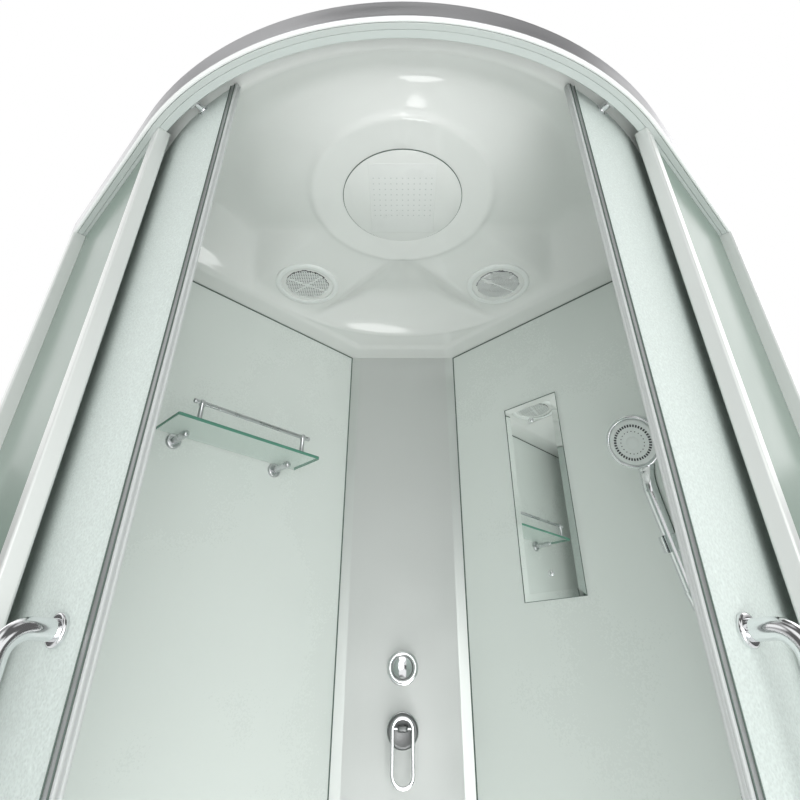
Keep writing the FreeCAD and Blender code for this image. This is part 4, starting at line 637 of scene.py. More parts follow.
def glass_finishes(colours):
    finish("clear glass", (0.25, 0.33, 0.28), (3, 40, 0.08, 0.2), Alpha=0.88, IOR=1.12)
    finish("frosted glass", shade(colours.glass, 0.63), tint=shade(colours.glass, 0.92), pebble=(400, 0.45),
           bump=0.001, Alpha=0.82, IOR=1.2)
    finish("shelf glass", (0.56, 0.74, 0.66), (8, 60, 0.0, 0.04), Alpha=0.2, IOR=1.45)
    finish("green edge", (0.16, 0.42, 0.31), (60, 500, 0.1, 0.25), tint=(0.10, 0.30, 0.22),
           Transmission_Weight=0.25)


def plastic_finishes():
    # Dark rubber of the gaskets and thin dark lines; on the ring round the shower plate this finish is
    # painted shade.
    finish("dark seal and painted shade", (0.10, 0.14, 0.12), (20, 800, 0.5, 0.7), bump=0.00002)
    finish("clear seal", (0.70, 0.73, 0.72), (12, 400, 0.3, 0.5), Transmission_Weight=0.35)
    finish("roller plastic", (0.70, 0.72, 0.71), (60, 900, 0.25, 0.4), bump=0.00001, Transmission_Weight=0.2)
    finish("spray plastic", (0.66, 0.70, 0.68), (40, 900, 0.15, 0.3), bump=0.00001)
    finish("grey plastic", (0.32, 0.33, 0.34), MOULDED, bump=0.00003)
    finish("dark plastic", (0.035, 0.038, 0.04), MOULDED, bump=0.00003)
    finish("white plastic", (0.84, 0.87, 0.85), (15, 900, 0.25, 0.4), bump=0.00002)
    finish("nozzle plastic", (0.82, 0.84, 0.82), (15, 900, 0.25, 0.4), bump=0.00002)
    finish("nozzle rubber", (0.62, 0.65, 0.63), (15, 900, 0.5, 0.7), bump=0.00002)


CAD_FINISHES = {
    "tray acrylic": ["tray", "tray_apron"],
    "roof acrylic": ["roof", "rain_plate"],
    "wall panel": ["left_wall_panel", "right_wall_panel"],
    "column paint": ["column_panel"],
    "rail aluminium": ["upper_rail", "lower_rail"],
    "pale aluminium": ["column_trims", "left_door_edge", "right_door_edge"],
    "jamb aluminium": ["wall_posts", "left_jamb", "right_jamb"],
    "chrome": ["drain_cover", "valve_plates", "mixer_cap", "mixer_lever", "diverter_knob", "hose_outlet",
               "holder_base", "holder_clamp", "hand_shower", "shelf_brackets", "shelf_rail", "mirror_screws",
               "left_door_hangers", "right_door_hangers", "left_door_handle", "right_door_handle"],
    "clear glass": ["left_fixed_glass", "right_fixed_glass"],
    "frosted glass": ["left_door_glass", "right_door_glass"],
    "shelf glass": ["shelf_glass"],
    "mirror silver": ["mirror"],
    "dark seal and painted shade": ["wall_gaskets"],
    "clear seal": ["left_door_seals", "right_door_seals"],
    "painted steel": ["tray_frame"],
    "zinc steel": ["tray_feet", "water_pipes"],
    "grey plastic": ["drain_body", "drain_trap", "mixer_cartridge", "fan_housing", "spray_face"],
    "dark plastic": ["speaker_driver", "fan_rotor"],
    "white plastic": ["speaker_grille", "fan_grille", "left_front_wheel", "left_rear_wheel",
                      "right_front_wheel", "right_rear_wheel"],
    "nozzle plastic": ["rain_head"],
    "brass": ["valve_block"],
}


class CABIN_OT_finishes(bpy.types.Operator):
    """Make the finishes and put them on the frame's own parts"""

    bl_idname = "cabin.finishes"
    bl_label = "Finishes"

    def execute(self, context):
        colours = context.scene.cabin_colours
        make_mottle_group()
        make_pebble_group()
        acrylic_finishes(colours)
        aluminium_finishes(colours)
        metal_finishes()
        glass_finishes(colours)
        plastic_finishes()
        for name, nodes in CAD_FINISHES.items():
            for node in nodes:
                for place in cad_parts[node].material_slots:
                    place.material = finish_of(name)
        return {"FINISHED"}


# Hose

def hose_line():
    """The hose's smooth centreline, as close points."""
    line = bpy.data.curves.new("hose_line", "CURVE")
    line.dimensions = "3D"
    line.resolution_u = 60
    spline = line.splines.new("NURBS")
    spline.points.add(len(HOSE_ROUTE) - 1)
    for knot, point in zip(spline.points, HOSE_ROUTE):
        knot.co = (*point, 1)
    spline.order_u = 3
    spline.use_endpoint_u = True
    holder = bpy.data.objects.new("hose_line", line)
    bpy.context.collection.objects.link(holder)
    mesh = bpy.data.meshes.new_from_object(holder)
    points = [vertex.co.copy() for vertex in mesh.vertices]
    bpy.data.objects.remove(holder)
    bpy.data.meshes.remove(mesh)
    return points


def even_points(points, step):
    """Points at an even distance along a line."""
    lengths = [0.0]
    for before, point in zip(points, points[1:]):
        lengths.append(lengths[-1] + (point - before).length)
    count = round(lengths[-1] / step)
    spread, index = [], 0
    for number in range(count + 1):
        wanted = lengths[-1] * number / count
        while index < len(points) - 2 and lengths[index + 1] < wanted:
            index += 1
        share = (wanted - lengths[index]) / (lengths[index + 1] - lengths[index])
        spread.append(points[index].lerp(points[index + 1], share))
    return spread


class CABIN_OT_hose(bpy.types.Operator):
    """Model the metal hose with its winding"""

    bl_idname = "cabin.hose"
    bl_label = "Hose"

    def execute(self, context):
        sides, rings_per_turn = 14, 4
        middle_radius, wave_height = 0.0066, 0.0004
        path = even_points(hose_line(), context.scene.cabin_sizes.hose_pitch / rings_per_turn)
        shape = bmesh.new()
        normal = (path[1] - path[0]).orthogonal().normalized()
        rings = []
        for index, point in enumerate(path):
            ahead = (path[min(index + 1, len(path) - 1)] - path[max(index - 1, 0)]).normalized()
            normal = (normal - ahead * normal.dot(ahead)).normalized()
            side = ahead.cross(normal)
            ring = []
            for corner in range(sides):
                turn = math.tau * corner / sides
                wave = math.cos(math.tau * (index / rings_per_turn - corner / sides))
                radius = middle_radius + wave_height * wave
                spoke = normal * math.cos(turn) + side * math.sin(turn)
                ring.append(shape.verts.new(point + spoke * radius))
            rings.append(ring)
        for before, ring in zip(rings, rings[1:]):
            for corner in range(sides):
                after = (corner + 1) % sides
                shape.faces.new((before[corner], before[after], ring[after], ring[corner]))
        shape.faces.new(rings[0][::-1])
        shape.faces.new(rings[-1])
        mesh = bpy.data.meshes.new("hose")
        shape.to_mesh(mesh)
        shape.free()
        piece = bpy.data.objects.new("hose", mesh)
        context.collection.objects.link(piece)
        outward(piece)
        smooth(piece, 180)
        hand_over(piece, "hose", "cabin", "hose_metal", "hose metal", "shower_hose")
        return {"FINISHED"}


# Moulded roof

def blend_low(a, b, width):
    """The lower of two values, with a soft change between them."""
    share = max(width - abs(a - b), 0) / width
    return min(a, b) - share * share * width / 4


def blend_high(a, b, width):
    return -blend_low(-a, -b, width)


def inside(x, y, low, high, corners):
    """How far a point is inside a rectangle. The radii start at its low corner and go round by +X."""
    depth = min(x - low[0], high[0] - x, y - low[1], high[1] - y)
    for (right, back), radius in zip(((0, 0), (1, 0), (1, 1), (0, 1)), corners):
        cx = high[0] - radius if right else low[0] + radius
        cy = high[1] - radius if back else low[1] + radius
        dx, dy = (x - cx if right else cx - x), (y - cy if back else cy - y)
        if dx > 0 and dy > 0:
            depth = min(depth, radius - math.hypot(dx, dy))
    return depth


def eased(value):
    """A soft step from 0 to 1."""
    value = min(max(value, 0), 1)
    return value * value * (3 - 2 * value)


def roof_height(x, y, soft):
    """The height of the roof's underside."""
    walls = min(x + WALL_INNER, WALL_INNER - y)
    column = ((x + WALL_INNER) - (y - WALL_INNER)) / math.sqrt(2) - COLUMN_DEPTH
    cornice = min(walls - CORNICE_REACH, column - CORNICE_REACH)
    flange = FLANGE_HEIGHT + CORNICE_RISE * eased(cornice / CORNICE_WIDTH + 0.5)
    dome = inside(x, y, DOME_LOW, DOME_HIGH, DOME_CORNERS)
    share = min(max(dome, 0) / DOME_EASE, 1)
    groove = GROOVE_DEPTH * math.exp(-(dome / GROOVE_WIDTH) ** 2)
    height = flange + DOME_RISE * (1 - (1 - share) ** 2) - groove
    reach = math.hypot(x - BOSS_CENTRE.x, y - BOSS_CENTRE.y)
    ridge = (RIDGE_RISE * eased((reach - RIDGE_START) / RIDGE_WIDTH)
             - RIM_DEPTH * math.exp(-((reach - BOSS_RADIUS) / RIM_WIDTH) ** 2))
    boss = BOSS_HEIGHT + ridge + BOSS_SLOPE * max(reach - BOSS_SLOPE_START, 0)
    height = blend_low(height, boss, soft)
    for along, across in ((x, y), (-y, -x)):
        arm = max(ARM_SPAN[0] - across, across - ARM_SPAN[1], along - ARM_END)
        height = blend_low(height, ARM_HEIGHT + ARM_SLOPE * blend_high(arm, 0, soft), soft)
    return min(height, BOSS_HEIGHT) if reach < BOSS_RADIUS else height


def to_outline(x, y, inset):
    """Moves a point of the full square into the quarter-round outline, along its ray from the centre."""
    radius = CORNER_RADIUS - inset
    ray = Vector((x, y, 0)) - CURVE_CENTRE
    if ray.x <= 0 or ray.y >= 0:
        return x, y
    reach = min(radius / ray.x, radius / -ray.y) * ray.length
    ray = ray * (radius / reach)
    return CURVE_CENTRE.x + ray.x, CURVE_CENTRE.y + ray.y


class CABIN_OT_roof(bpy.types.Operator):
    """Model the moulded roof with its round boss and two arms"""

    bl_idname = "cabin.roof"
    bl_label = "Moulded roof"

    def execute(self, context):
        sizes = context.scene.cabin_sizes
        at_rest()
        cells = sizes.roof_cell
        bpy.ops.mesh.primitive_grid_add(x_subdivisions=cells, y_subdivisions=cells, size=1)
        piece = context.object
        low, high = -HALF, HALF - ROOF_INSET
        for vertex in piece.data.vertices:
            x = low + (vertex.co.x + 0.5) * (high - low)
            y = -high + (vertex.co.y + 0.5) * (high - low)
            x, y = to_outline(x, y, ROOF_INSET)
            vertex.co = (x, y, roof_height(x, y, sizes.roof_round))
        holes = ((BOSS_CENTRE, PLATE_HOLE), (SPEAKER_CENTRE, GRILLE_HOLE), (FAN_CENTRE, GRILLE_HOLE))
        pick(piece)
        bpy.ops.object.mode_set(mode="EDIT")
        bpy.ops.mesh.select_all(action="DESELECT")
        bpy.ops.object.mode_set(mode="OBJECT")
        for face in piece.data.polygons:
            face.select = any(math.hypot(face.center.x - centre.x, face.center.y - centre.y) < radius
                              for centre, radius in holes)
        bpy.ops.object.mode_set(mode="EDIT")
        bpy.ops.mesh.select_mode(type="FACE")
        bpy.ops.mesh.delete(type="FACE")
        bpy.ops.mesh.select_mode(type="VERT")
        bpy.ops.mesh.select_all(action="SELECT")
        bpy.ops.mesh.vertices_smooth(factor=0.5, repeat=2)
        bpy.ops.object.mode_set(mode="OBJECT")
        skin = piece.modifiers.new("skin", "SOLIDIFY")
        skin.thickness = sizes.roof_skin
        skin.offset = 1
        pick(piece)
        bpy.ops.object.modifier_apply(modifier=skin.name)
        outward(piece)
        smooth(piece, 50)
        hand_over(piece, "moulded_roof", "cabin", "roof_acrylic", "roof acrylic", "roof")
        return {"FINISHED"}


# Rails

# A profile's points give the distance from the cabin's outer edge and the height.
RAIL_EDGE = [(0.0004, 2.0506), (0, 2.0501), (0.0003, 2.0487), (0.0014, 2.047), (0.0034, 2.046),
             (0.0052, 2.0463), (0.006, 2.0475), (0.005, 2.049), (0.004, 2.0506)]
RAIL_FACE = [(0.0006, 2.086), (0, 2.0855), (0, 2.0514), (0.0004, 2.0508), (0.004, 2.0508), (0.004, 2.0856),
             (0.0035, 2.086)]
RAIL_LIP = [(0.004, 2.072), (0.012, 2.072), (0.012, 2.0755), (0.0115, 2.076), (0.004, 2.076)]
RAIL_BAND = [(0.0064, 2.0468), (0.0068, 2.0464), (0.0146, 2.0464), (0.015, 2.0468), (0.015, 2.05),
             (0.0064, 2.05)]
RAIL_TRACK = [(0.0154, 2.0472), (0.0158, 2.0468), (0.026, 2.0468), (0.0267, 2.0475), (0.0267, 2.0524),
              (0.0261, 2.053), (0.0243, 2.053), (0.0237, 2.0524), (0.0237, 2.05), (0.0154, 2.05)]
LOWER_RAIL = [(0.004, 0.2606), (0.0046, 0.26), (0.0244, 0.26), (0.025, 0.2606), (0.025, 0.264),
              (0.008, 0.264), (0.008, 0.296), (0.0237, 0.296), (0.0237, 0.2936), (0.0243, 0.293),
              (0.0261, 0.293), (0.0267, 0.2936), (0.0267, 0.2985), (0.0252, 0.3), (0.0065, 0.3),
              (0.0047, 0.2993), (0.004, 0.2975)]
# The first rail is the fascia's rounded lower edge as a piece of its own, in a near-white finish that paints
# the highlight along it.
RAILS = [
    ("rail_edge", "rail_aluminium", "painted edge highlight", [], [RAIL_EDGE]),
    ("rail_fascia", "rail_aluminium", "rail aluminium", ["upper_rail"], [RAIL_FACE, RAIL_LIP]),
    ("rail_band", "roof_acrylic", "pale band", [], [RAIL_BAND]),
    ("rail_track", "rail_aluminium", "track paint", [], [RAIL_TRACK]),
    ("rail_lower", "rail_aluminium", "rail aluminium", ["lower_rail"], [LOWER_RAIL]),
]


class CABIN_OT_rails(bpy.types.Operator):
    """Model the upper and the lower rail"""

    bl_idname = "cabin.rails"
    bl_label = "Rails"

    def execute(self, context):
        path = front_path()
        for name, slot, finish_name, nodes, profiles in RAILS:
            rail = join([swept(profile, path) for profile in profiles])
            hand_over(rail, name, "cabin", slot, finish_name, *nodes)
        return {"FINISHED"}


# Doors

class CABIN_OT_doors(bpy.types.Operator):
    """Model what the curved glasses of the doors carry: edges, seals, hangers, rollers and bow handles"""

    bl_idname = "cabin.doors"
    bl_label = "Door fittings"

    def execute(self, context):
        sizes = context.scene.cabin_sizes
        for side in DOORS:
            self.edges(side)
            self.rollers(side)
            self.handle(side, sizes)
        return {"FINISHED"}

    def edges(self, side):
        """The metal bar and the lip seals. A slab's first number is its distance from the curve's centre."""
        low, high = DOOR_RISE
        body = f"{side}_door"
        bar = slab((0.511, -0.0044, low), (0.521, 0.0044, high), 0.0018, 3, on_door(side, 0.0086))
        hand_over(bar, f"{side}_edge_bar", body, "frame_aluminium", "edge aluminium", f"{side}_door_edge")
        half = 0.0006
        lines = [slab((radius - half, -half, low), (radius + half, half, high), 0.0002, 1,
                      on_door(side, along)) for radius, along in ((0.5213, 0.0116), (0.5208, 0.0045))]
        hand_over(join(lines), f"{side}_edge_lines", body, "dark_seal", "dark seal and painted shade")
        lead = 0.002
        front, rear = on_door(side, lead), on_door(side, DOOR_WIDTH - lead)
        half = 0.0019
        seals = [slab((first, -half, low), (last, half, high), 0.0011, 3, front)
                 for first, last in ((0.5114, 0.5148), (0.5172, 0.5206))]
        seals.append(slab((0.5145, -half, low), (0.5175, 0.0004, high), 0.0004, 1, front))
        seals.append(slab((0.512, -half, low), (0.52, half, high), 0.0012, 3, rear))
        hand_over(join(seals), f"{side}_edge_seals", body, "clear_seal", "clear seal", f"{side}_door_seals")

    def rollers(self, side):
        """The hangers' caps, axles and pins. A profile's heights are distances from the curve's centre."""
        wheel = [(0.5341, 0.0106), (0.5347, 0.0119), (0.5374, 0.0119), (0.538, 0.0112), (0.5382, 0.0096),
                 (0.5422, 0.0095), (0.543, 0.0087), (0.543, 0.0066), (0.5423, 0.0062), (0.5423, 0.0034)]
        inner_cap = [(0.5107, 0.0052), (0.5109, 0.0068), (0.5117, 0.0078), (0.5131, 0.008)]
        outer_cap = [(0.5188, 0.009), (0.5206, 0.009), (0.5213, 0.0082), (0.5213, 0.0052), (0.5337, 0.0049)]
        axle_end = [(0.5336, 0.003), (0.5433, 0.003), (0.5433, 0.0048), (0.5449, 0.0049), (0.5453, 0.0044),
                    (0.5453, 0.0028), (0.5445, 0.0025), (0.5445, 0.0006)]
        pin_end = [(0.5338, 0.0049), (0.534, 0.0072), (0.5348, 0.008), (0.5422, 0.008), (0.543, 0.0072)]
        fittings = []
        for word, along in (("front", ROLLER_INSET), ("rear", DOOR_WIDTH - ROLLER_INSET)):
            axle = on_door(side, along, AXLE_HEIGHT) @ SIDEWAYS
            pin = on_door(side, along, GUIDE_HEIGHT) @ SIDEWAYS
            name = f"{side}_{word}_wheel"
            hand_over(turned(wheel, axle, 48), f"{side}_{word}_roller", name, "wheel_plastic",
                      "roller plastic", name)
            for place in (axle, pin):
                fittings += [turned(cap, place, 40) for cap in (inner_cap, outer_cap)]
            fittings.append(turned(axle_end, axle, 32))
            fittings.append(turned(pin_end, pin, 40))
        hand_over(join(fittings), f"{side}_hangers", f"{side}_door", "chrome", "chrome",
                  f"{side}_door_hangers")

    def handle(self, side, sizes):
        """A bow outside and a slimmer one inside, each on two round feet."""
        place = on_door(side, HANDLE_INSET)
        high, low = HANDLE_RISE
        inner_bend = 0.009
        parts = []
        for seat, reach, radius, bend, away in (
                (GLASS_OUTER, sizes.handle_reach, sizes.handle_radius, sizes.handle_bend, 1),
                (GLASS_INNER, sizes.inner_reach, sizes.inner_radius, inner_bend, -1)):
            grip = seat + reach * away
            path = rounded_path([(seat, 0, high), (grip, 0, high), (grip, 0, low), (seat, 0, low)], bend)
            parts.append(tube(path, radius, place, 10))
            for height in (high, low):
                facing = SIDEWAYS if away > 0 else SIDEWAYS.inverted()
                foot = Matrix.Translation((seat, 0, height)) @ facing
                parts.append(turned([(0, 0.014), (0.0026, 0.014), (0.0036, 0.0132), (0.004, 0.0118),
                                     (0.004, radius + 0.0002)], place @ foot, 48))
        hand_over(join(parts), f"{side}_handle", f"{side}_door", "chrome", "chrome", f"{side}_door_handle")


# Valves on the column

class CABIN_OT_valves(bpy.types.Operator):
    """Model the diverter, the mixer with its loop lever, and the hose outlet"""

    bl_idname = "cabin.valves"
    bl_label = "Valves"

    def execute(self, context):
        mixer = COLUMN_FACE @ Matrix.Translation((0, MIXER_HEIGHT, 0))
        diverter = COLUMN_FACE @ Matrix.Translation((0, DIVERTER_HEIGHT, 0))
        plate = [(0, 0.031), (0.0034, 0.031), (0.0045, 0.0302), (0.005, 0.0288), (0.005, 0.0204)]
        plates = join([turned(plate, place, 72) for place in (mixer, diverter)])
        hand_over(plates, "cover_plates", "cabin", "chrome", "chrome", "valve_plates")
        knob = turned([(0.0054, 0.0268), (0.0064, 0.0279), (0.0228, 0.0279), (0.0246, 0.0272),
                       (0.0253, 0.0258), (0.025, 0.0235), (0.0242, 0.0218), (0.0236, 0.0213)],
                      diverter, 72, 60)
        hand_over(knob, "diverter_ring", "diverter_knob", "chrome", "chrome", "diverter_knob")
        face = turned([(0.0225, 0.0212), (0.0241, 0.0212), (0.0239, 0.0206), (0.0233, 0.0165),
                       (0.023, 0.009), (0.0229, 0.001)], diverter, 72, 60)
        hand_over(face, "diverter_face", "diverter_knob", "chrome", "dark chrome")
        cap = turned([(0.0054, 0.0278), (0.0064, 0.0289), (0.0278, 0.0289), (0.0302, 0.0278),
                      (0.0313, 0.0255), (0.0313, 0.0232), (0.0308, 0.0222), (0.0308, 0.001)], mixer, 72, 60)
        pivot = COLUMN_FACE @ Matrix.Translation((0, LEVER_HEIGHT, LEVER_REACH))
        hub = slab((-0.0099, -0.0059, -0.0136), (0.0099, 0.0059, 0.0052), 0.0042, 4, pivot)
        hand_over(join([cap, hub]), "mixer_body", "mixer_cap", "chrome", "dark chrome", "mixer_cap")
        line = slab((-0.0075, -0.0002, 0.0049), (0.0075, 0.0006, 0.0055), 0.0002, 1, pivot)
        hand_over(line, "mixer_mark", "mixer_cap", "dark_seal", "dark seal and painted shade")
        corner = [(0.0032, 0.0026), (0.0026, 0.0036), (0.0014, 0.004)]
        band = []
        for left, up in ((-1, -1), (1, -1), (1, 1), (-1, 1)):
            points = corner if left == up else corner[::-1]
            band += [(left * across, up * rise) for across, rise in points]
        loop_radius, loop_low, loop_high = 0.0188, -0.0878, 0.0168
        loop = swept(band, stadium(loop_radius, loop_low, loop_high), pivot, closed=True)
        pin_reach, pin_radius = 0.0186, 0.0025
        pin = tube([(-pin_reach, 0, 0), (pin_reach, 0, 0)], pin_radius, pivot, 6)
        hand_over(join([loop, pin]), "mixer_loop", "mixer_lever", "chrome", "chrome", "mixer_lever")
        self.outlet()
        return {"FINISHED"}

    def outlet(self):
        place = COLUMN_FACE @ Matrix.Translation((0, OUTLET_HEIGHT, 0))
        mouth = (0, -OUTLET_DROP, OUTLET_REACH)
        back, bend, radius = -0.018, 0.012, 0.0099
        neck = tube(rounded_path([(0, 0, back), (0, 0, OUTLET_REACH), mouth], bend), radius, place, 12)
        rose = turned([(0, 0.023), (0.0028, 0.023), (0.0044, 0.0215), (0.005, 0.0185), (0.005, 0.0101)],
                      place, 56)
        nut = turned([(0, 0.0092), (0.0006, 0.0108), (0.004, 0.0109), (0.0045, 0.0102), (0.0055, 0.0102),
                      (0.006, 0.0109), (0.0165, 0.0109), (0.019, 0.0098), (0.0218, 0.0084)],
                     place @ Matrix.Translation(mouth) @ UPRIGHT, 12, 25)
        hand_over(join([neck, rose, nut]), "outlet_elbow", "cabin", "chrome", "chrome", "hose_outlet")


# Hand shower and its holder

class CABIN_OT_handset(bpy.types.Operator):
    """Model the hand shower, its turning face and the holder on the wall"""

    bl_idname = "cabin.handset"
    bl_label = "Hand shower"

    def execute(self, context):
        front = HEAD @ UPRIGHT
        head_radius, dome_depth, dome_start = 0.045, 0.016, -0.015
        turns = [math.radians(degrees) for degrees in range(4, 90, 6)]
        dome = [(dome_start - dome_depth * math.cos(turn), head_radius * math.sin(turn)) for turn in turns]
        head = turned(dome + [(-0.014, head_radius), (-0.004, head_radius), (-0.001, 0.0443), (0, 0.0428),
                              (0, 0.0402), (-0.0008, 0.0389), (-0.0024, 0.0384)], front, 96, 50)
        grip = turned([(-0.028, 0.0088), (-0.0268, 0.0098), (-0.012, 0.0112), (-0.002, 0.0126),
                       (-0.0008, 0.0122), (-0.0006, 0.0112), (0.0008, 0.0112), (0.001, 0.0116),
                       (0.05, 0.0119), (0.11, 0.0128), (0.15, 0.0134)], HAND, 48, 50)
        neck = self.neck()
        hand_over(join([head, grip, neck]), "handset", "hand_shower", "chrome", "chrome", "hand_shower")
        face = turned([(-0.0024, 0.0376), (0.0006, 0.0378), (0.0016, 0.0372), (0.0022, 0.035),
                       (0.0027, 0.028), (0.003, 0.018), (0.0031, 0.0112), (0.0028, 0.0106),
                       (0.0028, 0.0102), (0.0032, 0.0096), (0.0033, 0.005), (0.0033, 0.0005)], front, 96, 50)
        hand_over(face, "spray_disc", "spray_face", "dark_plastic", "spray plastic", "spray_face")
        low, high = 0.0018, 0.0033
        nozzles = []
        for count, radius, length, width in ((40, 0.0282, 0.0044, 0.0027), (20, 0.0188, 0.0018, 0.0018)):
            nozzle = slab((radius - length / 2, -width / 2, low), (radius + length / 2, width / 2, high),
                          0.0005, 2)
            turns = [Matrix.Rotation(math.tau * step / count, 4, "Z") for step in range(count)]
            nozzles.append(copies(nozzle, [front @ turn for turn in turns]))
        hand_over(join(nozzles), "spray_nozzles", "spray_face", "dark_plastic", "dark plastic")
        self.holder()
        return {"FINISHED"}

    def neck(self):
        """The neck bends behind the head and widens. A ring is (height, half width, half depth, shift)."""
        rings = ((0.149, 0.0134, 0.0134, 0), (0.158, 0.0134, 0.0132, 0.0012),
                 (0.167, 0.0134, 0.0128, 0.0046), (0.176, 0.0135, 0.0121, 0.0094),
                 (0.184, 0.0139, 0.0112, 0.0146), (0.192, 0.0155, 0.0101, 0.0199),
                 (0.199, 0.019, 0.009, 0.018), (0.206, 0.0235, 0.008, 0.0165),
                 (0.213, 0.0285, 0.007, 0.015), (0.219, 0.0325, 0.0062, 0.014))
        at_rest()
        bpy.ops.mesh.primitive_circle_add(vertices=48, radius=1, fill_type="NGON")
        piece = bpy.context.object
        bpy.ops.object.mode_set(mode="EDIT")
        bpy.ops.mesh.select_all(action="SELECT")
        last_height, last_width, last_depth, last_shift = 0, 1, 1, 0
        for height, width, depth, shift in rings:
            if last_height:
                bpy.ops.mesh.extrude_region_move()
            bpy.ops.transform.translate(value=(0, shift - last_shift, height - last_height))
            bpy.ops.transform.resize(value=(width / last_width, depth / last_depth, 1),
                                     center_override=(0, shift, height))
            last_height, last_width, last_depth, last_shift = height, width, depth, shift
        bpy.ops.object.mode_set(mode="OBJECT")
        outward(piece)
        smooth(piece, 60)
        return settle(piece, HAND)

    def holder(self):
        base_low, base_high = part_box("holder_base")
        middle = (base_low[0] + base_high[0]) / 2
        out = Matrix.Translation((middle, base_high[1], HOLDER_HEIGHT)) @ UPRIGHT
        rose = turned([(0, 0.0229), (0.0036, 0.0229), (0.0058, 0.0215), (0.0066, 0.0188), (0.0068, 0.017),
                       (0.0074, 0.0164), (0.008, 0.015), (0.0082, 0.0112), (0.0098, 0.0102),
                       (0.018, 0.0094)], out, 64, 50)
        ears = []
        for low, high in ((-0.0128, -0.0066), (0.0066, 0.0128)):
            ears.append(slab((low, -0.0102, 0.0175), (high, 0.0102, 0.0385), 0.0045, 3, out))
        yoke = slab((-0.0128, -0.0095, 0.0125), (0.0128, 0.0095, 0.0185), 0.003, 3, out)
        pin = turned([(-0.0132, 0.0028), (0.0132, 0.0028)],
                     out @ Matrix.Translation((0, 0, HOLDER_REACH)) @ SIDEWAYS, 24)
        hand_over(join([rose, yoke, pin] + ears), "holder_rose", "cabin", "chrome", "chrome", "holder_base")
        rise = (HOLDER_HEIGHT - GRIP_FOOT[2]) / math.cos(GRIP_LEAN)
        half_ring = 0.013
        seat = HAND @ Matrix.Translation((0, 0, rise - half_ring))
        ring = turned([(0, 0.0172), (0.0012, 0.0186), (0.003, 0.019), (0.023, 0.019), (0.0248, 0.0186),
                       (0.026, 0.0172)], None, 64)
        bore = turned([(-0.002, 0.0126), (0.028, 0.0131)], None, 48)
        mouth = slab((-0.0075, -0.03, -0.002), (0.0075, 0, 0.028))
        for tool in (bore, mouth):
            pick(ring)
            cut = ring.modifiers.new("cut", "BOOLEAN")
            cut.operation = "DIFFERENCE"
            cut.object = tool
            bpy.ops.object.modifier_apply(modifier=cut.name)
            bpy.data.objects.remove(tool)
        smooth(ring, 35)
        settle(ring, seat)
        pivot = Matrix.Translation((middle, base_high[1] - HOLDER_REACH, HOLDER_HEIGHT))
        tongue = slab((-0.0058, -0.0105, -0.0098), (0.0058, 0.0105, 0.0098), 0.0048, 4, pivot)
        link = slab((-0.0056, 0.0165, -0.006), (0.0056, 0.024, 0.006), 0.0015, 2,
                    HAND @ Matrix.Translation((0, 0, rise)))
        hand_over(join([ring, tongue, link]), "holder_ring", "holder_clamp", "chrome", "chrome",
                  "holder_clamp")


# Glass shelf and mirror

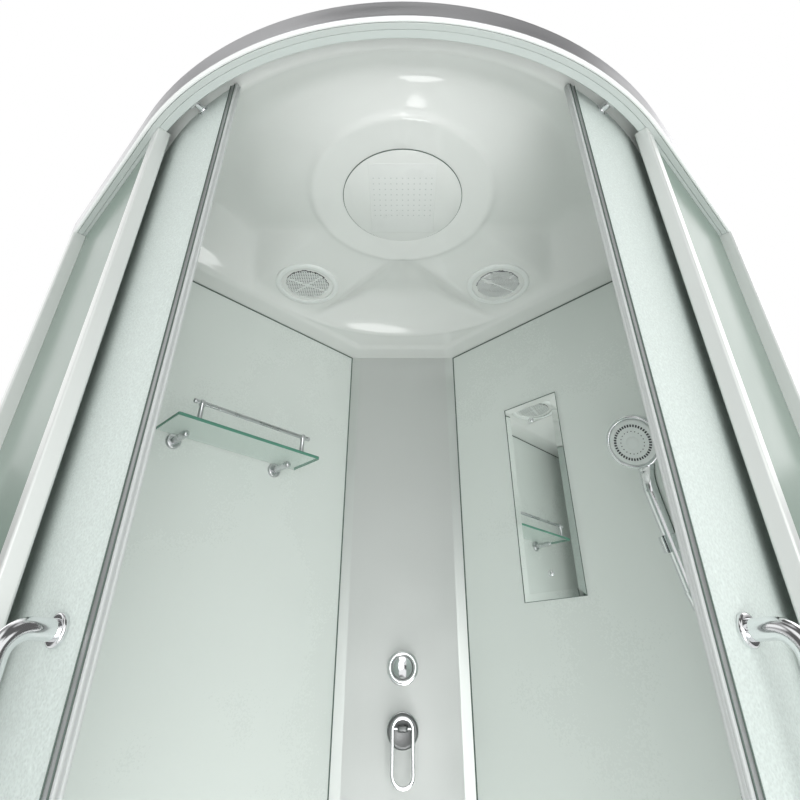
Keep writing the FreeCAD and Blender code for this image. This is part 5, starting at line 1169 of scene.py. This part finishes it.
class CABIN_OT_shelf(bpy.types.Operator):
    """Model the shelf's glass with its green edge, its brackets, posts and rail, and the mirror's caps"""

    bl_idname = "cabin.shelf"
    bl_label = "Shelf and mirror caps"

    def execute(self, context):
        low, high = [Vector(corner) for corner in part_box("shelf_glass")]
        self.plate(low, high)
        self.arms_and_fence(low, high)
        self.mirror()
        return {"FINISHED"}

    def plate(self, low, high):
        """The glass and its green edge, which is a strip round it."""
        skin, round_off, edge_bevel = 0.0006, 0.0003, 0.0008
        glass = slab((low.x, low.y + skin, low.z), (high.x - skin, high.y - skin, high.z), edge_bevel, 2)
        hand_over(glass, "shelf_plate", "cabin", "shelf_glass", "shelf glass", "shelf_glass")
        corners = ((low.x, low.y, 0), (high.x, low.y, 0), (high.x, high.y, 0), (low.x, high.y, 0))
        corner_radius = 0.004
        strip = [(0, low.z + skin), (round_off, low.z), (skin, low.z), (skin, high.z), (round_off, high.z),
                 (0, high.z - skin)]
        hand_over(swept(strip, rounded_path(corners, corner_radius)), "shelf_edge", "cabin", "shelf_glass",
                  "green edge")

    def arms_and_fence(self, low, high):
        end_inset, arm_drop = 0.041, 0.0073
        front_inset, rail_rise, rail_radius, overhang = 0.008, 0.033, 0.004, 0.012
        ball_radius, ball_past = 0.0045, 0.013
        ends = (low.y + end_inset, high.y - end_inset)
        arm = [(0, 0.0149), (0.003, 0.0149), (0.0048, 0.014), (0.006, 0.0122), (0.0062, 0.0072),
               (0.008, 0.0067), (0.034, 0.0064), (0.0355, 0.0068), (0.05, 0.007), (0.0542, 0.0056),
               (0.0562, 0.003), (0.0568, 0.0004)]
        seats = [Matrix.Translation((WALL_CORNER.x, end, low.z - arm_drop)) @ SIDEWAYS for end in ends]
        arms = [turned(arm, seat, 40, 50) for seat in seats]
        hand_over(join(arms), "shelf_arms", "cabin", "chrome", "satin chrome", "shelf_brackets")
        post = [(0, 0.006), (0.0012, 0.006), (0.002, 0.0046), (0.026, 0.0043), (0.0272, 0.0056),
                (0.033, 0.0059), (0.0372, 0.005), (0.0388, 0.0028), (0.039, 0.0004)]
        front, rail_height = high.x - front_inset, high.z + rail_rise
        rail = [(front, ends[0] - overhang, rail_height), (front, ends[1] + overhang, rail_height)]
        parts = [tube(rail, rail_radius)]
        for end, past in zip(ends, (-ball_past, ball_past)):
            parts.append(turned(post, Matrix.Translation((front, end, high.z)), 32, 50))
            parts.append(ball(ball_radius, (front, end + past, rail_height)))
        hand_over(join(parts), "shelf_fence", "cabin", "chrome", "satin chrome", "shelf_rail")

    def mirror(self):
        """The caps of the mirror's screws and the dark line round the mirror."""
        low, high = [Vector(corner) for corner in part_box("mirror_screws")]
        cap_radius = 0.006
        cap = [(0, cap_radius), (0.0018, cap_radius), (0.0032, 0.0048), (0.0039, 0.0028), (0.004, 0.0004)]
        caps = []
        for height in (low.z + cap_radius, high.z - cap_radius):
            place = Matrix.Translation(((low.x + high.x) / 2, high.y, height)) @ UPRIGHT
            caps.append(turned(cap, place, 32, 50))
        hand_over(join(caps), "mirror_caps", "cabin", "chrome", "chrome", "mirror_screws")
        low, high = [Vector(corner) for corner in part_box("mirror")]
        front, back = low.y + 0.0004, low.y + 0.0022
        line, soft = 0.0009, 0.0002
        rim = [slab((x, front, low.z), (x + line, back, high.z), soft, 1) for x in (low.x, high.x - line)]
        rim += [slab((low.x, front, z), (high.x, back, z + line), soft, 1) for z in (low.z, high.z - line)]
        hand_over(join(rim), "mirror_rim", "cabin", "mirror", "dark seal and painted shade")


# Fittings of the roof

class CABIN_OT_roof_fittings(bpy.types.Operator):
    """Model the round shower plate, its nozzle field and the two round grilles"""

    bl_idname = "cabin.roof_fittings"
    bl_label = "Shower plate and grilles"

    def execute(self, context):
        boss = Matrix.Translation(BOSS_CENTRE) @ DIAGONAL
        plate = turned([(2.0782, 0.1068), (2.0786, 0.1076), (2.0806, 0.1077), (2.0809, 0.107)], boss, 128)
        hand_over(plate, "shower_plate", "cabin", "roof_acrylic", "plate acrylic", "rain_plate")
        # A thin dark ring round the plate's edge: painted shade in the joint between the plate and the boss.
        ring = [(-0.0005, 2.0793), (0, 2.0788), (0.0005, 2.0793), (0.0005, 2.0808), (-0.0005, 2.0808)]
        gap = swept(ring, circle(PLATE_GAP_RADIUS, 128), boss, closed=True)
        hand_over(gap, "plate_gap", "cabin", "dark_seal", "dark seal and painted shade")
        across, along = FIELD_HALF
        field = slab((-across, -along, 2.0776), (across, along, 2.0784), 0.0003, 2, boss)
        hand_over(field, "nozzle_field", "cabin", "nozzle_plastic", "nozzle plastic", "rain_head")
        nozzle = turned([(2.0781, 0.0017), (2.0775, 0.0014), (2.0773, 0.0006)], None, 10)
        columns, rows = NOZZLE_GRID
        spots = [boss @ Matrix.Translation(((column - (columns - 1) / 2) * NOZZLE_PITCH[0],
                                            (row - (rows - 1) / 2) * NOZZLE_PITCH[1] + NOZZLE_SHIFT, 0))
                 for column in range(columns) for row in range(rows)]
        hand_over(copies(nozzle, spots), "nozzles", "cabin", "nozzle_plastic", "nozzle rubber")
        self.grille("speaker", SPEAKER_CENTRE, 0.0050, 0.0016, ((30, 0.0016, 2.0814), (-38, 0.0014, 2.0815)))
        self.grille("fan", FAN_CENTRE, 0.0042, 0.0018, ((30, 0.0016, 2.0814),))
        return {"FINISHED"}

    def grille(self, word, centre, pitch, width, ribs):
        """A round frame, thin bars that cross in the speaker's, and ribs of (degrees, half width, height)."""
        ring = [(0, 2.085), (0, 2.0832), (0.0008, 2.0816), (0.0025, 2.0811), (0.0085, 2.0811),
                (0.0105, 2.0818), (0.0118, 2.083), (0.0118, 2.085)]
        bezel = swept(ring, circle(GRILLE_RADIUS, 96, -1), closed=True)
        spans = []
        count = int(LATTICE_REACH / pitch)
        for step in range(-count, count + 1):
            offset = step * pitch
            half = math.sqrt(LATTICE_REACH * LATTICE_REACH - offset * offset)
            spans.append(((-half, offset - width / 2, 2.0822), (half, offset + width / 2, 2.0836)))
            if word == "speaker":
                spans.append(((offset - width / 2, -half, 2.0824), (offset + width / 2, half, 2.0838)))
        parts = [bezel, bars(spans)]
        for degrees, half, low in ribs:
            turn = Matrix.Rotation(math.radians(degrees), 4, "Z")
            parts.append(slab((-LATTICE_REACH, -half, low), (LATTICE_REACH, half, 2.084), 0.0006, 2, turn))
        piece = settle(join(parts), Matrix.Translation(centre) @ DIAGONAL)
        hand_over(piece, f"{word}_cover", "cabin", "white_plastic", "white plastic", f"{word}_grille")


# Camera, floor and light

class CABIN_OT_stage(bpy.types.Operator):
    """Place the camera, the floor and the lamps"""

    bl_idname = "cabin.stage"
    bl_label = "Stage"

    def execute(self, context):
        settings = context.scene.cabin_stage
        at_rest()
        bpy.ops.object.camera_add(location=CAMERA_PLACE, rotation=CAMERA_TURN)
        camera = context.object
        camera.data.sensor_width = 36
        camera.data.lens = CAMERA_LENS
        camera.data.shift_x, camera.data.shift_y = CAMERA_SHIFT
        camera.data.clip_start = 0.01
        context.scene.camera = camera
        context.scene.view_settings.view_transform = "Standard"

        bpy.ops.mesh.primitive_plane_add(size=FLOOR_SIZE, location=(0, 0, FLOOR_HEIGHT))
        floor = context.object
        floor.name = "floor"
        floor.data.materials.append(finish("floor", (0.80, 0.81, 0.81), roughness=0.6))

        context.scene.world = self.white_room(settings.sky)
        for place, aim, width, share in LAMPS:
            at_rest()
            bpy.ops.object.light_add(type="AREA", location=place)
            lamp = context.object
            lamp.data.shape = "DISK"
            lamp.data.size = width
            lamp.data.energy = settings.key * share
            lamp.rotation_euler = (Vector(aim) - Vector(place)).to_track_quat("-Z", "Y").to_euler()
        return {"FINISHED"}

    def white_room(self, sky):
        """Soft light from all round. The camera and glass see white, and gloss mirrors an uneven room."""
        world = bpy.data.worlds.new("white room")
        world.use_nodes = True
        tree = world.node_tree
        back = tree.nodes["Background"]
        back.inputs["Color"].default_value = (1, 1, 1, 1)
        path = tree.nodes.new("ShaderNodeLightPath")
        room = tree.nodes.new("ShaderNodeTexNoise")
        room.inputs["Scale"].default_value = 1.8
        room.inputs["Detail"].default_value = 0.5
        mirrored = tree.nodes.new("ShaderNodeMapRange")
        for socket, value in (("From Min", 0.42), ("From Max", 0.56), ("To Min", 0.12)):
            mirrored.inputs[socket].default_value = value
        tree.links.new(room.outputs["Fac"], mirrored.inputs["Value"])
        strength = None
        for kind, shown in (("Is Glossy Ray", mirrored.outputs["Result"]), ("Is Transmission Ray", None),
                            ("Is Camera Ray", None)):
            choice = tree.nodes.new("ShaderNodeMix")
            tree.links.new(path.outputs[kind], choice.inputs["Factor"])
            choice.inputs["A"].default_value = sky
            choice.inputs["B"].default_value = 1.0
            for source, socket in ((strength, "A"), (shown, "B")):
                if source:
                    tree.links.new(source, choice.inputs[socket])
            strength = choice.outputs["Result"]
        tree.links.new(strength, back.inputs["Strength"])
        return world


class CABIN_PT_panel(bpy.types.Panel):
    """Lists the pieces and their settings"""

    bl_idname = "CABIN_PT_panel"
    bl_label = "Shower Cabin"
    bl_space_type = "VIEW_3D"
    bl_region_type = "UI"
    bl_category = "Shower Cabin"

    def draw(self, context):
        for settings in (context.scene.cabin_sizes, context.scene.cabin_colours, context.scene.cabin_stage):
            box = self.layout.box()
            for name in settings.__annotations__:
                box.prop(settings, name)
        for operator in OPERATORS:
            self.layout.operator(operator.bl_idname)


GROUPS = {"cabin_sizes": CabinSizes, "cabin_colours": CabinColours, "cabin_stage": StageSettings}
OPERATORS = [CABIN_OT_stage, CABIN_OT_finishes, CABIN_OT_hose, CABIN_OT_roof, CABIN_OT_rails, CABIN_OT_doors,
             CABIN_OT_valves, CABIN_OT_handset, CABIN_OT_shelf, CABIN_OT_roof_fittings]


def register():
    for group in GROUPS.values():
        bpy.utils.register_class(group)
    for name, group in GROUPS.items():
        setattr(bpy.types.Scene, name, bpy.props.PointerProperty(type=group))
    for operator in OPERATORS:
        bpy.utils.register_class(operator)
    bpy.utils.register_class(CABIN_PT_panel)


def unregister():
    bpy.utils.unregister_class(CABIN_PT_panel)
    for operator in reversed(OPERATORS):
        bpy.utils.unregister_class(operator)
    for name, group in GROUPS.items():
        delattr(bpy.types.Scene, name)
        bpy.utils.unregister_class(group)


def main():
    register()
    for operator in OPERATORS:
        group, name = operator.bl_idname.split(".")
        getattr(getattr(bpy.ops, group), name)()
    at_rest()


if __name__ == "__main__":
    main()
